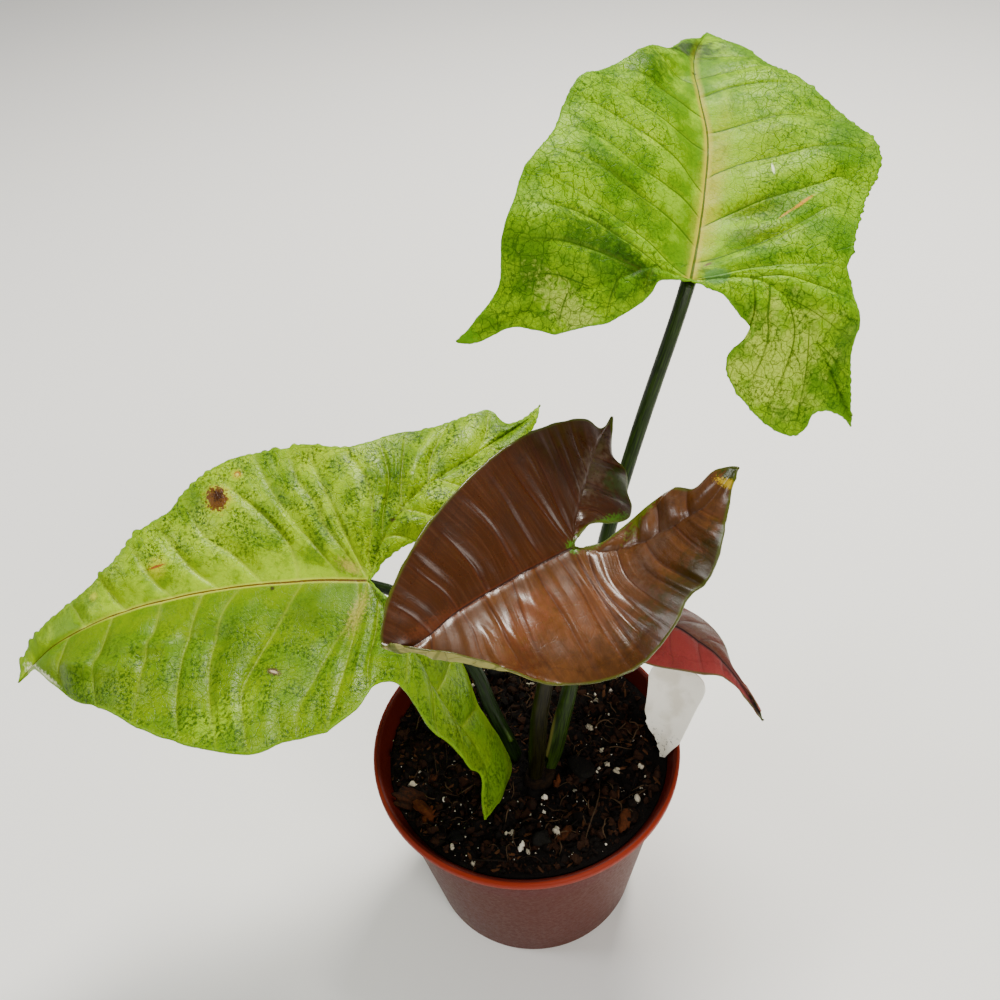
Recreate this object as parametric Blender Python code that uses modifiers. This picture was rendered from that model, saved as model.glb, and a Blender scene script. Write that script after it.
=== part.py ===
"""An arrowhead plant with four leaves, built together with its nursery pot.

The pot's base centre is the origin, +Z is up and +Y points away from the viewer of the front.
Each leaf blade is laid out flat first: its midrib runs along +y from the junction with the stalk,
+x is its right half seen from above. The flat blade is then rolled along a few creases, turned and
moved to its place. Lengths below are millimetres, and MM turns them into Blender's metres.
"""
import math
from collections import namedtuple

import bmesh
import bpy
import numpy as np
from mathutils import Matrix, Vector

MM = 0.001
GAP = 0.3

# Pot: a 105 mm thin-walled nursery pot
RIM_RADIUS = 52.5
LIP_WIDTH = 2.5
LIP_HEIGHT = 2.8
LIP_EASE = 1.2
POT_HEIGHT = 78.0
NECK_DROP = 6.0
NECK_RADIUS = 48.7
BASE_RADIUS = 38.3
BASE_ROUND = 2.8
WALL = 1.4
FLOOR = 1.6
FLOOR_FILLET = 1.6
POT_SIDES = 48
DRAIN_COUNT = 6
DRAIN_RING = 26.0
DRAIN_RADIUS = 3.6

# Soil: its height at the middle and at the wall, and how much it rises there to the right and drops
# to the back
SOIL_MIDDLE = 70.5
SOIL_RIM = 73.0
SOIL_SLOPE = (0.017, -0.043)
SOIL_RINGS = 8
GRAIN_COUNT = 34
GRAIN_SIZE = (1.1, 1.9)
GRAIN_SPACING = 6.5
GRAIN_FREE = (3.0, -5.5)
GRAIN_KEEP_OFF = 14.0
LABEL_KEEP_OFF = 9.0
BARK_COUNT = 9
BARK_SIZE = (2.6, 4.2)

# Stem: the short rooted stump that two of the stalks rise from
STEM_AT = (3.9, -10.6)
STEM_HALF = (6.0, 4.5)
STEM_TOP = 74.5
STEM_FOOT = 48.0
STEM_TURN = math.radians(25.0)
STEM_SIDES = 20

# Label: a blank tag with a pointed foot, leaning out over the lip. Each edge entry is a height along
# the label with its left and right edge there.
LABEL_FOOT = (46.2, -8.0, 74.0)
LABEL_RISE = (0.28, 0.20, 0.94)
LABEL_ACROSS = (0.906, -0.423, 0.0)
LABEL_THICKNESS = 0.8
LABEL_CURL = 0.8
LABEL_MIDDLE = -4.6
LABEL_EDGES = ((-4.6, -0.9, 0.2), (-0.6, -1.0, 0.6), (3.7, -2.8, 1.8), (5.6, -4.4, 2.5), (8.5, -7.2, 3.5),
               (14.1, -10.6, 3.9), (19.0, -11.6, 4.2), (24.5, -12.7, 4.5), (29.6, -13.8, 5.0),
               (33.0, -13.2, 4.4), (35.4, -11.2, 2.4), (36.6, -8.0, -1.0))

BLADE_THICKNESS = 0.7

# A crease rolls the blade beyond a line. at: a point of the line; heading: the way the rolled part
# lies, in degrees from +x; reach: the length of the roll; angle: degrees, plus lifts; side: 1 right
# half, -1 left half, 0 both.
Crease = namedtuple("Crease", "at heading reach angle side")
# Half of a blade: blade is the margin from the apex to the shoulder, lobe from the shoulder to the
# tip of the basal lobe, sinus from there back to the junction, rib the vein along the lobe.
Half = namedtuple("Half", "blade lobe sinus rib")
Blade = namedtuple("Blade", "name at turn size midrib right left creases laterals pucker wave teeth colour")
Stalk = namedtuple("Stalk", "name points radii wing colour")

TALL = Blade(
    name="blade_tall",
    at=(56.0, 46.1, 225.0),
    turn=(-16.0, 23.5, 18.0),
    size=1.0,
    midrib=[(-2, 110), (-6, 95), (-7, 83), (-4.5, 67), (0, 50), (1, 20), (0, 0)],
    right=Half(
        blade=[(-2, 110), (2.4, 102.8), (10.3, 97), (19.2, 88), (29, 78), (40.2, 69.2), (48.3, 61), (50.5, 51),
               (47.5, 38), (45, 26), (43, 13)],
        lobe=[(43, 13), (47, 3), (51, -8), (54.5, -19), (56.5, -25), (60, -31)],
        sinus=[(60, -31), (53, -28), (46.5, -29.5), (45, -35.5), (40, -38), (31, -35.5), (22, -30),
               (16, -24), (15.5, -18), (20, -12), (16, -8), (9, -2.5), (0, 0)],
        rib=[(0, 0), (10, 3), (21, 3), (32, -3), (43, -13), (52, -22), (60, -31)]),
    left=Half(
        blade=[(-2, 110), (-5, 101), (-10, 95.5), (-15, 87), (-23, 79), (-31, 68), (-38, 58), (-44, 51),
               (-46.5, 40), (-49, 27), (-54, 14)],
        lobe=[(-54, 14), (-54.5, 3), (-55, -8), (-52, -19), (-55, -29), (-59, -37.5)],
        sinus=[(-59, -37.5), (-53, -36), (-46, -30), (-38, -28.5), (-32, -27.5), (-25, -23.5),
               (-18, -19), (-13, -13), (-10.5, -8), (-8.5, -3.5), (0, 0)],
        rib=[(0, 0), (-11, -0.5), (-20, -7), (-37, -19), (-49, -29), (-59, -37.5)]),
    creases=[
        Crease((0, 0), 302, 6, 26, -1),
        Crease((0, 58), 90, 45, -23, 0),
        Crease((9, 2), 289, 14, -42, 1),
        Crease((-9, 1.5), 258.5, 14, -35, -1),
        Crease((14, 0), 0, 34, -5, 1),
        Crease((-14, 0), 180, 34, -8, -1),
        Crease((1, 0), 0, 5, 11, 1),
        Crease((-1, 0), 180, 5, 16, -1)],
    laterals=7, pucker=1.0, wave=(1.0, 3.5), teeth=0.45, colour=(0.36, 0.55, 0.07))

LEFT = Blade(
    name="blade_left",
    at=(-45.4, 18.2, 143.8),
    turn=(98.0, -2.5, -17.0),
    size=0.975,
    midrib=[(-2, 121), (2, 113), (5.5, 98), (8, 75), (7.5, 45), (4, 18), (0, 0)],
    right=Half(
        blade=[(-2, 121), (4, 117), (12, 105), (18, 92), (25, 79), (33, 71), (38, 61), (46, 52),
               (52, 39), (53.5, 26), (53, 13)],
        lobe=[(53, 13), (48.5, 2), (49, -6), (54, -20), (54.5, -31), (58, -45), (60, -53), (54, -58.5),
              (56, -65), (62, -73)],
        sinus=[(62, -73), (55, -70), (44, -63), (33, -56), (21, -45), (13, -31), (10.5, -18), (7, -8),
               (0, 0)],
        rib=[(0, 0), (11, -6), (22, -15), (31, -27), (40, -43), (51, -58), (62, -73)]),
    left=Half(
        blade=[(-2, 121), (0, 113), (-8, 105), (-18, 95), (-24, 85), (-34, 74), (-42, 63), (-49, 53),
               (-54, 40), (-51.5, 30), (-51.5, 18)],
        lobe=[(-51.5, 18), (-45, 8.5), (-37.5, 3), (-36, -4), (-41, -11), (-46, -20), (-48, -31),
              (-51, -42), (-51.5, -50), (-57, -50.5), (-64, -51.5)],
        sinus=[(-64, -51.5), (-58, -58), (-51, -67), (-45, -74.5), (-39.5, -67), (-33, -53),
               (-24, -45), (-19, -33), (-14.5, -17), (-8, -6), (0, 0)],
        rib=[(0, 0), (-12, -4), (-25, -13), (-36, -29), (-43, -45), (-50, -55), (-57, -54),
             (-64, -51.5)]),
    creases=[
        Crease((0, 65), 90, 45, -27, 0),
        Crease((5, 0), 286, 22, -13, 1),
        Crease((-5, 0), 256.5, 22, -67.5, -1),
        Crease((14, 0), 0, 34, -14, 1),
        Crease((-14, 0), 180, 34, 18, -1),
        Crease((1, 0), 0, 5, 15, 1),
        Crease((-1, 0), 180, 5, 2.5, -1)],
    laterals=7, pucker=1.2, wave=(0.8, 3.0), teeth=0.4, colour=(0.33, 0.56, 0.05))

BRONZE = Blade(
    name="blade_bronze",
    at=(17.0, -3.7, 173.0),
    turn=(128.0, 7.5, -30.0),
    size=0.975,
    midrib=[(-2, 66), (-2, 54), (0, 42), (0.5, 24), (0, 0)],
    right=Half(
        blade=[(-2, 66), (4, 64), (10, 59), (16.5, 51), (22, 42), (28, 28), (32, 15), (34, 6)],
        lobe=[(34, 6), (35.3, -4), (35.5, -15), (35, -24), (32.5, -33), (28.5, -37.5), (30.5, -46)],
        sinus=[(30.5, -46), (26, -41.5), (19, -35.5), (13, -37), (7, -32), (2.5, -30), (0, -25), (1, -18),
               (3, -12), (2.8, -6), (0, 0)],
        rib=[(0, 0), (9, -9), (18, -22), (25, -34), (30.5, -46)]),
    left=Half(
        blade=[(-2, 66), (-7.4, 61), (-14.4, 54.3), (-20, 46.5), (-26, 37), (-33.4, 26.4), (-37.5, 14),
               (-38.5, 6)],
        lobe=[(-38.5, 6), (-38, -5), (-35.5, -13), (-37, -22), (-34, -31), (-30, -39), (-26.5, -48)],
        sinus=[(-26.5, -48), (-20.5, -44), (-18, -37), (-12, -34), (-6.5, -30), (-4, -21), (-3.5, -13),
               (-2.6, -6), (0, 0)],
        rib=[(0, 0), (-8, -10), (-16, -21), (-23, -32), (-25.5, -41), (-26.5, -48)]),
    creases=[
        Crease((-10.4, 49.9), 136, 4, 115, 0),
        Crease((0, 38), 90, 45, -15.5, 0),
        Crease((4, 0), 288, 20, -13, 1),
        Crease((-4, 0), 237.5, 20, 62, -1),
        Crease((14, 0), 0, 34, -3, 1),
        Crease((-14, 0), 180, 34, -12, -1),
        Crease((1, 0), 0, 5, 11, 1),
        Crease((-1, 0), 180, 5, 9.5, -1)],
    laterals=6, pucker=0.8, wave=(0.4, 3.0), teeth=0.0, colour=(0.24, 0.09, 0.03))

PINK = Blade(
    name="blade_pink",
    at=(37.7, 22.5, 117.1),
    turn=(-125.0, 3.4, -12.6),
    size=1.0,
    midrib=[(0, 60), (0, 40), (0, 20), (0, 0)],
    right=Half(
        blade=[(0, 60), (3.5, 50), (6.2, 40.2), (13.6, 30), (19.2, 19), (20.6, 8)],
        lobe=[(20.6, 8), (17.5, -3), (14, -10), (11, -16)],
        sinus=[(11, -16), (7, -12), (4, -8), (0, 0)],
        rib=[(0, 0), (5, -5), (8.5, -10), (11, -16)]),
    left=Half(
        blade=[(0, 60), (-3.5, 50), (-6.2, 40.2), (-13.6, 30), (-19.2, 19), (-20.6, 8)],
        lobe=[(-20.6, 8), (-18.6, -4), (-15.5, -12), (-13, -19)],
        sinus=[(-13, -19), (-8, -14), (-4, -8), (0, 0)],
        rib=[(0, 0), (-6, -6), (-10, -12), (-13, -19)]),
    creases=[
        Crease((0, 33), 90, 14, -15, 0),
        Crease((0, 8), 90, 30, -35, 0),
        Crease((1, 0), 0, 6, -12, 1),
        Crease((-1, 0), 180, 6, -23, -1)],
    laterals=5, pucker=0.35, wave=(0.3, 2.0), teeth=0.0, colour=(0.55, 0.10, 0.12))

BLADES = (TALL, LEFT, BRONZE, PINK)

# Stalks run from their foot to the junction of their blade. wing: (height up to which the sheath
# reaches, its width, its direction round the stalk in degrees), or None.
STALKS = (
    Stalk("petiole_tall",
          [(5.9, -9.9, 62.0), (6.5, -9.4, 70.5), (10.0, -5.8, 79.2), (14.7, 0.7, 97.6), (20.6, 9.0, 118.0),
           (29.9, 22.5, 149.0), (36.2, 30.7, 166.5), (43.0, 37.6, 185.6), (51.6, 43.2, 212.0)],
          (1.5, 1.6, 2.3, 2.6, 2.4, 2.3, 2.2, 2.2, 2.1), (100.0, 1.4, 200.0), (0.10, 0.17, 0.02)),
    Stalk("petiole_left",
          [(-2.4, -0.6, 58.0), (-4.3, 0.5, 70.5), (-10.7, 7.0, 87.8), (-15.3, 13.6, 101.6),
           (-25.0, 19.0, 118.0), (-36.4, 19.4, 134.6)],
          (2.2, 2.4, 2.4, 2.2, 2.0, 1.8), (88.0, 1.3, 300.0), (0.09, 0.20, 0.03)),
    Stalk("petiole_bronze",
          [(1.4, -11.8, 62.0), (2.0, -11.6, 70.5), (3.3, -11.0, 84.0), (4.7, -9.6, 102.2),
           (6.8, -8.4, 116.0), (12.8, -5.4, 153.5), (15.8, -4.2, 168.0)],
          (1.9, 2.0, 2.8, 2.7, 2.5, 2.1, 1.8), None, (0.08, 0.11, 0.02)),
    Stalk("petiole_pink",
          [(9.6, -1.5, 58.0), (10.4, -0.2, 70.5), (13.0, 4.1, 79.0), (18.1, 11.4, 94.1),
           (24.1, 16.0, 103.7), (31.4, 20.2, 111.6)],
          (1.3, 1.3, 1.3, 1.2, 1.2, 1.1), None, (0.16, 0.14, 0.05)),
)
STALK_SIDES = 10
STALK_RINGS = 16
WING_CLEARANCE = 2.0


def clear_scene():
    """Removes every object of the scene that the script starts in."""
    for thing in list(bpy.data.objects):
        bpy.data.objects.remove(thing, do_unlink=True)


def new_collection(name):
    """A collection linked to the scene."""
    collection = bpy.data.collections.new(name)
    bpy.context.scene.collection.children.link(collection)
    return collection


def material(name, colour, roughness):
    """A Principled material of one colour."""
    made = bpy.data.materials.new(name)
    made.use_nodes = True
    shader = made.node_tree.nodes["Principled BSDF"]
    shader.inputs["Base Color"].default_value = (*colour, 1.0)
    shader.inputs["Roughness"].default_value = roughness
    return made


def mesh_object(name, vertices, faces, collection, finish=None):
    """A mesh from points in millimetres, with its doubles merged."""
    mesh = bpy.data.meshes.new(name)
    mesh.from_pydata((np.asarray(vertices) * MM).tolist(), [], [tuple(map(int, face)) for face in faces])
    shell = bmesh.new()
    shell.from_mesh(mesh)
    bmesh.ops.remove_doubles(shell, verts=shell.verts, dist=0.02 * MM)
    bmesh.ops.dissolve_degenerate(shell, edges=shell.edges, dist=0.01 * MM)
    shell.to_mesh(mesh)
    shell.free()
    thing = bpy.data.objects.new(name, mesh)
    collection.objects.link(thing)
    if finish:
        mesh.materials.append(finish)
    return thing


def smooth_path(points, count):
    """count + 1 evenly spaced points on the Catmull-Rom curve through the given ones."""
    given = np.asarray(points, float)
    ends = np.vstack([2 * given[0] - given[1], given, 2 * given[-1] - given[-2]])
    u = np.linspace(0, 1, 12, endpoint=False)[:, None]
    pieces = []
    for a, b, c, d in zip(ends[:-3], ends[1:-2], ends[2:-1], ends[3:]):
        pieces.append(0.5 * (2 * b + (c - a) * u + (2 * a - 5 * b + 4 * c - d) * u ** 2
                             + (3 * b - a - 3 * c + d) * u ** 3))
    curve = np.vstack(pieces + [given[-1:]])
    along = np.concatenate([[0], np.cumsum(np.linalg.norm(np.diff(curve, axis=0), axis=1))])
    wanted = np.linspace(0, along[-1], count + 1)
    return np.column_stack([np.interp(wanted, along, curve[:, axis]) for axis in range(curve.shape[1])])


def turn_matrix(yaw, pitch, roll):
    """Rolls about the midrib, pitches the tip up and turns about the vertical, in degrees."""
    turned = (Matrix.Rotation(math.radians(yaw), 3, "Z") @ Matrix.Rotation(math.radians(pitch), 3, "X")
              @ Matrix.Rotation(math.radians(roll), 3, "Y"))
    return np.array(turned)


def rolled(points, crease, sides):
    """Bends what lies past the crease round a cylinder and carries on straight beyond it."""
    heading = math.radians(crease.heading)
    outward = np.array([math.cos(heading), math.sin(heading)])
    radius = crease.reach / math.radians(crease.angle)
    past = (points[:, :2] - np.array(crease.at)) @ outward
    height = points[:, 2]
    angle = np.clip(past, 0, crease.reach) / radius
    beyond = np.maximum(past - crease.reach, 0)
    moved = (past > 0) & ((crease.side == 0) | (sides == crease.side))
    new_past = (radius - height) * np.sin(angle) + beyond * np.cos(angle)
    new_height = radius - (radius - height) * np.cos(angle) + beyond * np.sin(angle)
    bent = points.copy()
    bent[:, :2] += np.where(moved, new_past - past, 0)[:, None] * outward
    bent[:, 2] = np.where(moved, new_height, height)
    return bent


def midrib_bow(blade, height):
    """How far the midrib lies to the right of a straight line, at heights along the blade."""
    line = smooth_path(blade.midrib, 40)[::-1]
    return np.interp(height, line[:, 1], line[:, 0]) * (height > 0)


def strip(inner, outer, across, sweep):
    """Grid between two paths. Its cross lines, the side veins, bow towards the base by sweep."""
    t = np.linspace(0, 1, across + 1)[None, :, None]
    grid = inner[:, None] * (1 - t) + outer[:, None] * t
    width = np.linalg.norm(outer - inner, axis=1)
    grid[..., 1] -= (sweep * width / 50)[:, None] * (4 * t * (1 - t))[..., 0]
    return grid


def toothed(margin, depth, side):
    """Pushes every second point of a margin outwards."""
    along = np.gradient(margin, axis=0)
    along /= np.maximum(np.linalg.norm(along, axis=1), 1e-6)[:, None]
    outward = np.column_stack([-along[:, 1], along[:, 0]]) * side
    step = (np.arange(len(margin)) % 2) * depth
    return margin + outward * step[:, None]


def blade_relief(shape, blade, s0, s1):
    """Height of the quilting between the side veins and of the waved margin."""
    rows, columns = shape[:2]
    s = np.linspace(s0, s1, rows)[:, None]
    t = np.linspace(0, 1, columns)[None, :]
    quilt = blade.pucker * np.abs(np.sin(math.pi * blade.laterals * s)) * np.sin(math.pi * t)
    amount, waves = blade.wave
    wave = amount * t ** 2 * np.sin(2 * math.pi * waves * s) * np.minimum(1, 6 * s)
    return quilt + wave


def blade_grids(blade, side):
    """The three grids of one half: beside the midrib, outside the lobe's rib, inside it."""
    half = blade.right if side > 0 else blade.left
    steps = 3 * blade.laterals
    across = 5
    lobe_steps = 12
    midrib = smooth_path(blade.midrib, steps)
    rib = smooth_path(half.rib, lobe_steps)
    margin = toothed(smooth_path(half.blade, steps), blade.teeth, side)
    outer = toothed(smooth_path(half.lobe, lobe_steps), blade.teeth, side)
    inner = toothed(smooth_path(half.sinus[::-1], lobe_steps), blade.teeth, -side)
    margin[-1] = half.blade[-1]
    outer[-1] = half.lobe[-1]
    inner[-1] = half.lobe[-1]
    grids = []
    for first, second, sweep, s0, s1 in ((midrib, margin, 3.0, 0, 1), (rib, outer, 3.0, 1, 1.6),
                                         (rib, inner, 0.0, 1.6, 1.6)):
        flat = strip(first, second, across, sweep)
        relief = blade_relief(flat.shape, blade, s0, s1) if s1 > s0 else np.zeros(flat.shape[:2])
        grids.append(np.dstack([flat, relief]))
    return grids


def grid_faces(rows, columns, start, flipped):
    """Triangles of a grid, with the same diagonals wherever they are used."""
    index = np.arange(rows * columns).reshape(rows, columns) + start
    a, b, c, d = index[:-1, :-1], index[1:, :-1], index[1:, 1:], index[:-1, 1:]
    faces = np.concatenate([np.stack([a, b, c], -1).reshape(-1, 3), np.stack([a, c, d], -1).reshape(-1, 3)])
    return faces[:, ::-1] if flipped else faces


def add_blade(blade, collection):
    """One leaf blade: its upper face worked out here, its thickness by Solidify."""
    points, sides, faces = [], [], []
    start = 0
    for side in (1, -1):
        for number, grid in enumerate(blade_grids(blade, side)):
            rows, columns = grid.shape[:2]
            points.append(grid.reshape(-1, 3))
            sides.append(np.full(rows * columns, side))
            faces.append(grid_faces(rows, columns, start, (side > 0) == (number == 2)))
            start += rows * columns
    flat = np.vstack(points)
    side_of = np.concatenate(sides)
    bow = midrib_bow(blade, flat[:, 1])
    for crease in blade.creases:
        along_midrib = crease.heading in (0, 180)
        flat[:, 0] -= bow * along_midrib
        flat = rolled(flat, crease, side_of)
        flat[:, 0] += bow * along_midrib
    placed = flat * blade.size @ turn_matrix(*blade.turn).T + np.array(blade.at)
    thing = mesh_object(blade.name, placed, np.vstack(faces), collection,
                        material(blade.name, blade.colour, 0.4))
    thickness = thing.modifiers.new("thickness", "SOLIDIFY")
    thickness.thickness = BLADE_THICKNESS * MM
    thickness.offset = -1.0
    thickness.use_even_offset = False
    thickness.use_quality_normals = True
    thing.data.shade_smooth()
    return thing


def stalk_rings(stalk, end_normal, extra=0.0):
    """Rings of a stalk: round, with a sheath wing low down, the last ring parallel to the blade."""
    centres = smooth_path(stalk.points, STALK_RINGS)
    given = np.asarray(stalk.points, float)
    knots = np.concatenate([[0], np.cumsum(np.linalg.norm(np.diff(given, axis=0), axis=1))])
    along = np.concatenate([[0], np.cumsum(np.linalg.norm(np.diff(centres, axis=0), axis=1))])
    radii = np.interp(along / along[-1], knots / knots[-1], stalk.radii) + extra
    rings = []
    turn = np.arange(STALK_SIDES) * 2 * math.pi / STALK_SIDES
    for number, (centre, radius) in enumerate(zip(centres, radii)):
        before = centres[max(number - 1, 0)]
        after = centres[min(number + 1, STALK_RINGS)]
        tangent = Vector(after - before).normalized()
        plane = tangent
        if number == STALK_RINGS:
            plane = Vector(end_normal)
        u = Vector((1, 0, 0)) - tangent * tangent.x
        u.normalize()
        v = tangent.cross(u)
        ring = np.outer(np.cos(turn) * radius, u) + np.outer(np.sin(turn) * radius, v)
        if stalk.wing and centre[2] > STEM_TOP + WING_CLEARANCE:
            top, width, direction = stalk.wing
            fade = max(0.0, min(1.0, (top - centre[2]) / 8))
            near = np.exp(-((np.degrees(turn) - direction + 180) % 360 - 180) ** 2 / (2 * 22.0 ** 2))
            ring *= (1 + fade * width / radius * near)[:, None]
        slide = ring @ np.array(plane) / np.dot(np.array(tangent), np.array(plane))
        rings.append(centre + ring - np.outer(slide, np.array(tangent)))
    return np.array(rings)


def add_tube(name, rings, collection, finish=None):
    """A closed tube through rings of points."""
    count, sides = rings.shape[:2]
    index = np.arange(count * sides).reshape(count, sides)
    nxt = np.roll(index, -1, axis=1)
    faces = np.stack([index[:-1], nxt[:-1], nxt[1:], index[1:]], -1).reshape(-1, 4).tolist()
    faces.append(index[0][::-1].tolist())
    faces.append(index[-1].tolist())
    thing = mesh_object(name, rings.reshape(-1, 3), faces, collection, finish)
    thing.data.shade_smooth()
    return thing


def cut(thing, cutter, operation="DIFFERENCE"):
    """Adds a Boolean with an exact solver."""
    made = thing.modifiers.new(cutter.name, "BOOLEAN")
    made.operation = operation
    made.solver = "EXACT"
    made.object = cutter
    cutter.hide_render = True
    cutter.display_type = "WIRE"


def pot_profile():
    """The pot's section, from the top of the lip down its outside, across the floor and back up."""
    neck = POT_HEIGHT - NECK_DROP
    corner = [(BASE_RADIUS - BASE_ROUND * (1 - math.cos(a)), BASE_ROUND * (1 - math.sin(a)))
              for a in (0.0, math.pi / 4, math.pi / 2)]
    under = POT_HEIGHT - LIP_HEIGHT
    return ([(RIM_RADIUS - LIP_EASE / 2, POT_HEIGHT), (RIM_RADIUS, POT_HEIGHT - LIP_EASE / 2),
             (RIM_RADIUS, under), (RIM_RADIUS - LIP_EASE, under - LIP_EASE / 2),
             (NECK_RADIUS + LIP_EASE, under - LIP_EASE), (NECK_RADIUS, neck)] + corner
            + [(0.0, 0.0), (0.0, FLOOR), (BASE_RADIUS - WALL - FLOOR_FILLET, FLOOR),
               (BASE_RADIUS - WALL, FLOOR + FLOOR_FILLET), (NECK_RADIUS - WALL, neck),
               (RIM_RADIUS - LIP_WIDTH, POT_HEIGHT - LIP_EASE),
               (RIM_RADIUS - LIP_WIDTH + LIP_EASE / 2, POT_HEIGHT)])


def inner_radius(height):
    """The pot's inside radius at a height."""
    neck = POT_HEIGHT - NECK_DROP
    return np.interp(height, (FLOOR + FLOOR_FILLET, neck, POT_HEIGHT - LIP_EASE),
                     (BASE_RADIUS - WALL, NECK_RADIUS - WALL, RIM_RADIUS - LIP_WIDTH))


def add_pot(collection, cutters):
    """The pot: a turned wall with a rolled lip and a ring of drain holes."""
    profile = pot_profile()
    mesh = bpy.data.meshes.new("pot")
    edges = [(i, (i + 1) % len(profile)) for i in range(len(profile))]
    mesh.from_pydata([(r * MM, 0.0, z * MM) for r, z in profile], edges, [])
    pot = bpy.data.objects.new("pot", mesh)
    collection.objects.link(pot)
    turned = pot.modifiers.new("turned", "SCREW")
    turned.axis = "Z"
    turned.steps = POT_SIDES
    turned.render_steps = POT_SIDES
    turned.use_merge_vertices = True
    turned.merge_threshold = 0.00001
    turned.use_smooth_shade = True
    for number in range(DRAIN_COUNT):
        angle = 2 * math.pi * (number + 0.5) / DRAIN_COUNT
        bpy.ops.mesh.primitive_cylinder_add(
            vertices=16, radius=DRAIN_RADIUS * MM, depth=4 * FLOOR * MM,
            location=(DRAIN_RING * MM * math.cos(angle), DRAIN_RING * MM * math.sin(angle), FLOOR / 2 * MM))
        drill = bpy.context.object
        drill.name = f"drain_{number}"
        move_to(drill, cutters)
        cut(pot, drill)
    mesh.materials.append(material("terracotta_plastic", (0.33, 0.06, 0.03), 0.45))
    return pot


def move_to(thing, collection):
    """Puts an object in one collection only."""
    for home in list(thing.users_collection):
        home.objects.unlink(thing)
    collection.objects.link(thing)


def soil_height(x, y):
    """The soil's surface: a slightly dished, lumpy plane that rises to the wall."""
    lumps = (0.7 * np.sin(0.31 * x + 1.0) * np.sin(0.27 * y + 2.0) + 0.45 * np.sin(0.62 * x - 0.5 * y)
             + 0.35 * np.sin(0.9 * y + 0.4 * x + 1.7))
    share = np.clip(np.hypot(x, y) / (NECK_RADIUS - WALL), 0, 1)
    rim = SOIL_RIM + SOIL_SLOPE[0] * x + SOIL_SLOPE[1] * y
    return SOIL_MIDDLE + (rim - SOIL_MIDDLE) * share ** 2 + lumps * (1 - share ** 6)


def add_soil(collection, cutters):
    """The potting soil: fills the pot, with perlite and bark grains sunk in its top."""
    angle = np.arange(POT_SIDES) * 2 * math.pi / POT_SIDES
    around = np.column_stack([np.cos(angle), np.sin(angle)])
    low = FLOOR + GAP
    neck = NECK_RADIUS - WALL
    rim = soil_height(*(neck * around).T)
    knee = np.minimum(POT_HEIGHT - NECK_DROP, rim - 1)
    edge = inner_radius(rim) - GAP
    levels = [(0 * edge, 0 * edge + low), (0 * edge + BASE_RADIUS - WALL - FLOOR_FILLET - GAP, 0 * edge + low),
              (0 * edge + BASE_RADIUS - WALL - GAP, 0 * edge + low + FLOOR_FILLET - GAP / 2),
              (inner_radius(knee) - GAP, knee)]
    levels += [(edge * number / SOIL_RINGS, None) for number in range(SOIL_RINGS, -1, -1)]
    rings = []
    for radius, height in levels:
        x, y = (radius[:, None] * around).T
        rings.append(np.column_stack([x, y, soil_height(x, y) if height is None else height]))
    rings[4][:, 2] = rim
    grid = np.array(rings)
    count = len(grid)
    index = np.arange(count * POT_SIDES).reshape(count, POT_SIDES)
    nxt = np.roll(index, -1, axis=1)
    faces = np.concatenate([np.stack([index[:-1], nxt[:-1], nxt[1:]], -1).reshape(-1, 3),
                            np.stack([index[:-1], nxt[1:], index[1:]], -1).reshape(-1, 3)])
    soil = mesh_object("soil", grid.reshape(-1, 3), faces, collection,
                       material("potting_soil", (0.02, 0.012, 0.008), 0.9))
    grains = add_grains(neck, cutters)
    joined = soil.modifiers.new("grains", "BOOLEAN")
    joined.operation = "UNION"
    joined.solver = "EXACT"
    joined.operand_type = "COLLECTION"
    joined.collection = grains
    return soil


def add_grains(top_radius, cutters):
    """Perlite grains and bark chips, scattered on the soil at least a grain apart."""
    draw = np.random.default_rng(7)
    grains = bpy.data.collections.new("grains")
    cutters.children.link(grains)
    spots = []
    while len(spots) < GRAIN_COUNT + BARK_COUNT:
        radius = (top_radius - 4.5) * math.sqrt(draw.random())
        angle = draw.random() * 2 * math.pi
        spot = (radius * math.cos(angle), radius * math.sin(angle))
        near_stem = math.dist(spot, GRAIN_FREE) < GRAIN_KEEP_OFF
        near_label = math.dist(spot, LABEL_FOOT[:2]) < LABEL_KEEP_OFF
        if near_stem or near_label or any(math.dist(spot, other) < GRAIN_SPACING for other in spots):
            continue
        spots.append(spot)
    for number, (x, y) in enumerate(spots):
        size = draw.uniform(*(GRAIN_SIZE if number < GRAIN_COUNT else BARK_SIZE))
        flat = 0.8 if number < GRAIN_COUNT else 0.45
        shell = bmesh.new()
        bmesh.ops.create_icosphere(shell, subdivisions=1, radius=size * MM)
        grain_mesh = bpy.data.meshes.new(f"grain_{number}")
        shell.to_mesh(grain_mesh)
        shell.free()
        grain = bpy.data.objects.new(f"grain_{number}", grain_mesh)
        height = float(soil_height(np.array(x), np.array(y))) + 0.15 * size
        turn = Matrix.Rotation(draw.random() * math.pi, 4, "Z") @ Matrix.Rotation(draw.random() * 0.5, 4, "X")
        stretch = Matrix.Diagonal((1.0 if number < GRAIN_COUNT else 1.3, 0.85, flat, 1.0))
        grain.matrix_world = Matrix.Translation((x * MM, y * MM, height * MM)) @ turn @ stretch
        grain.hide_render = True
        grain.display_type = "WIRE"
        grains.objects.link(grain)
    return grains


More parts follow.
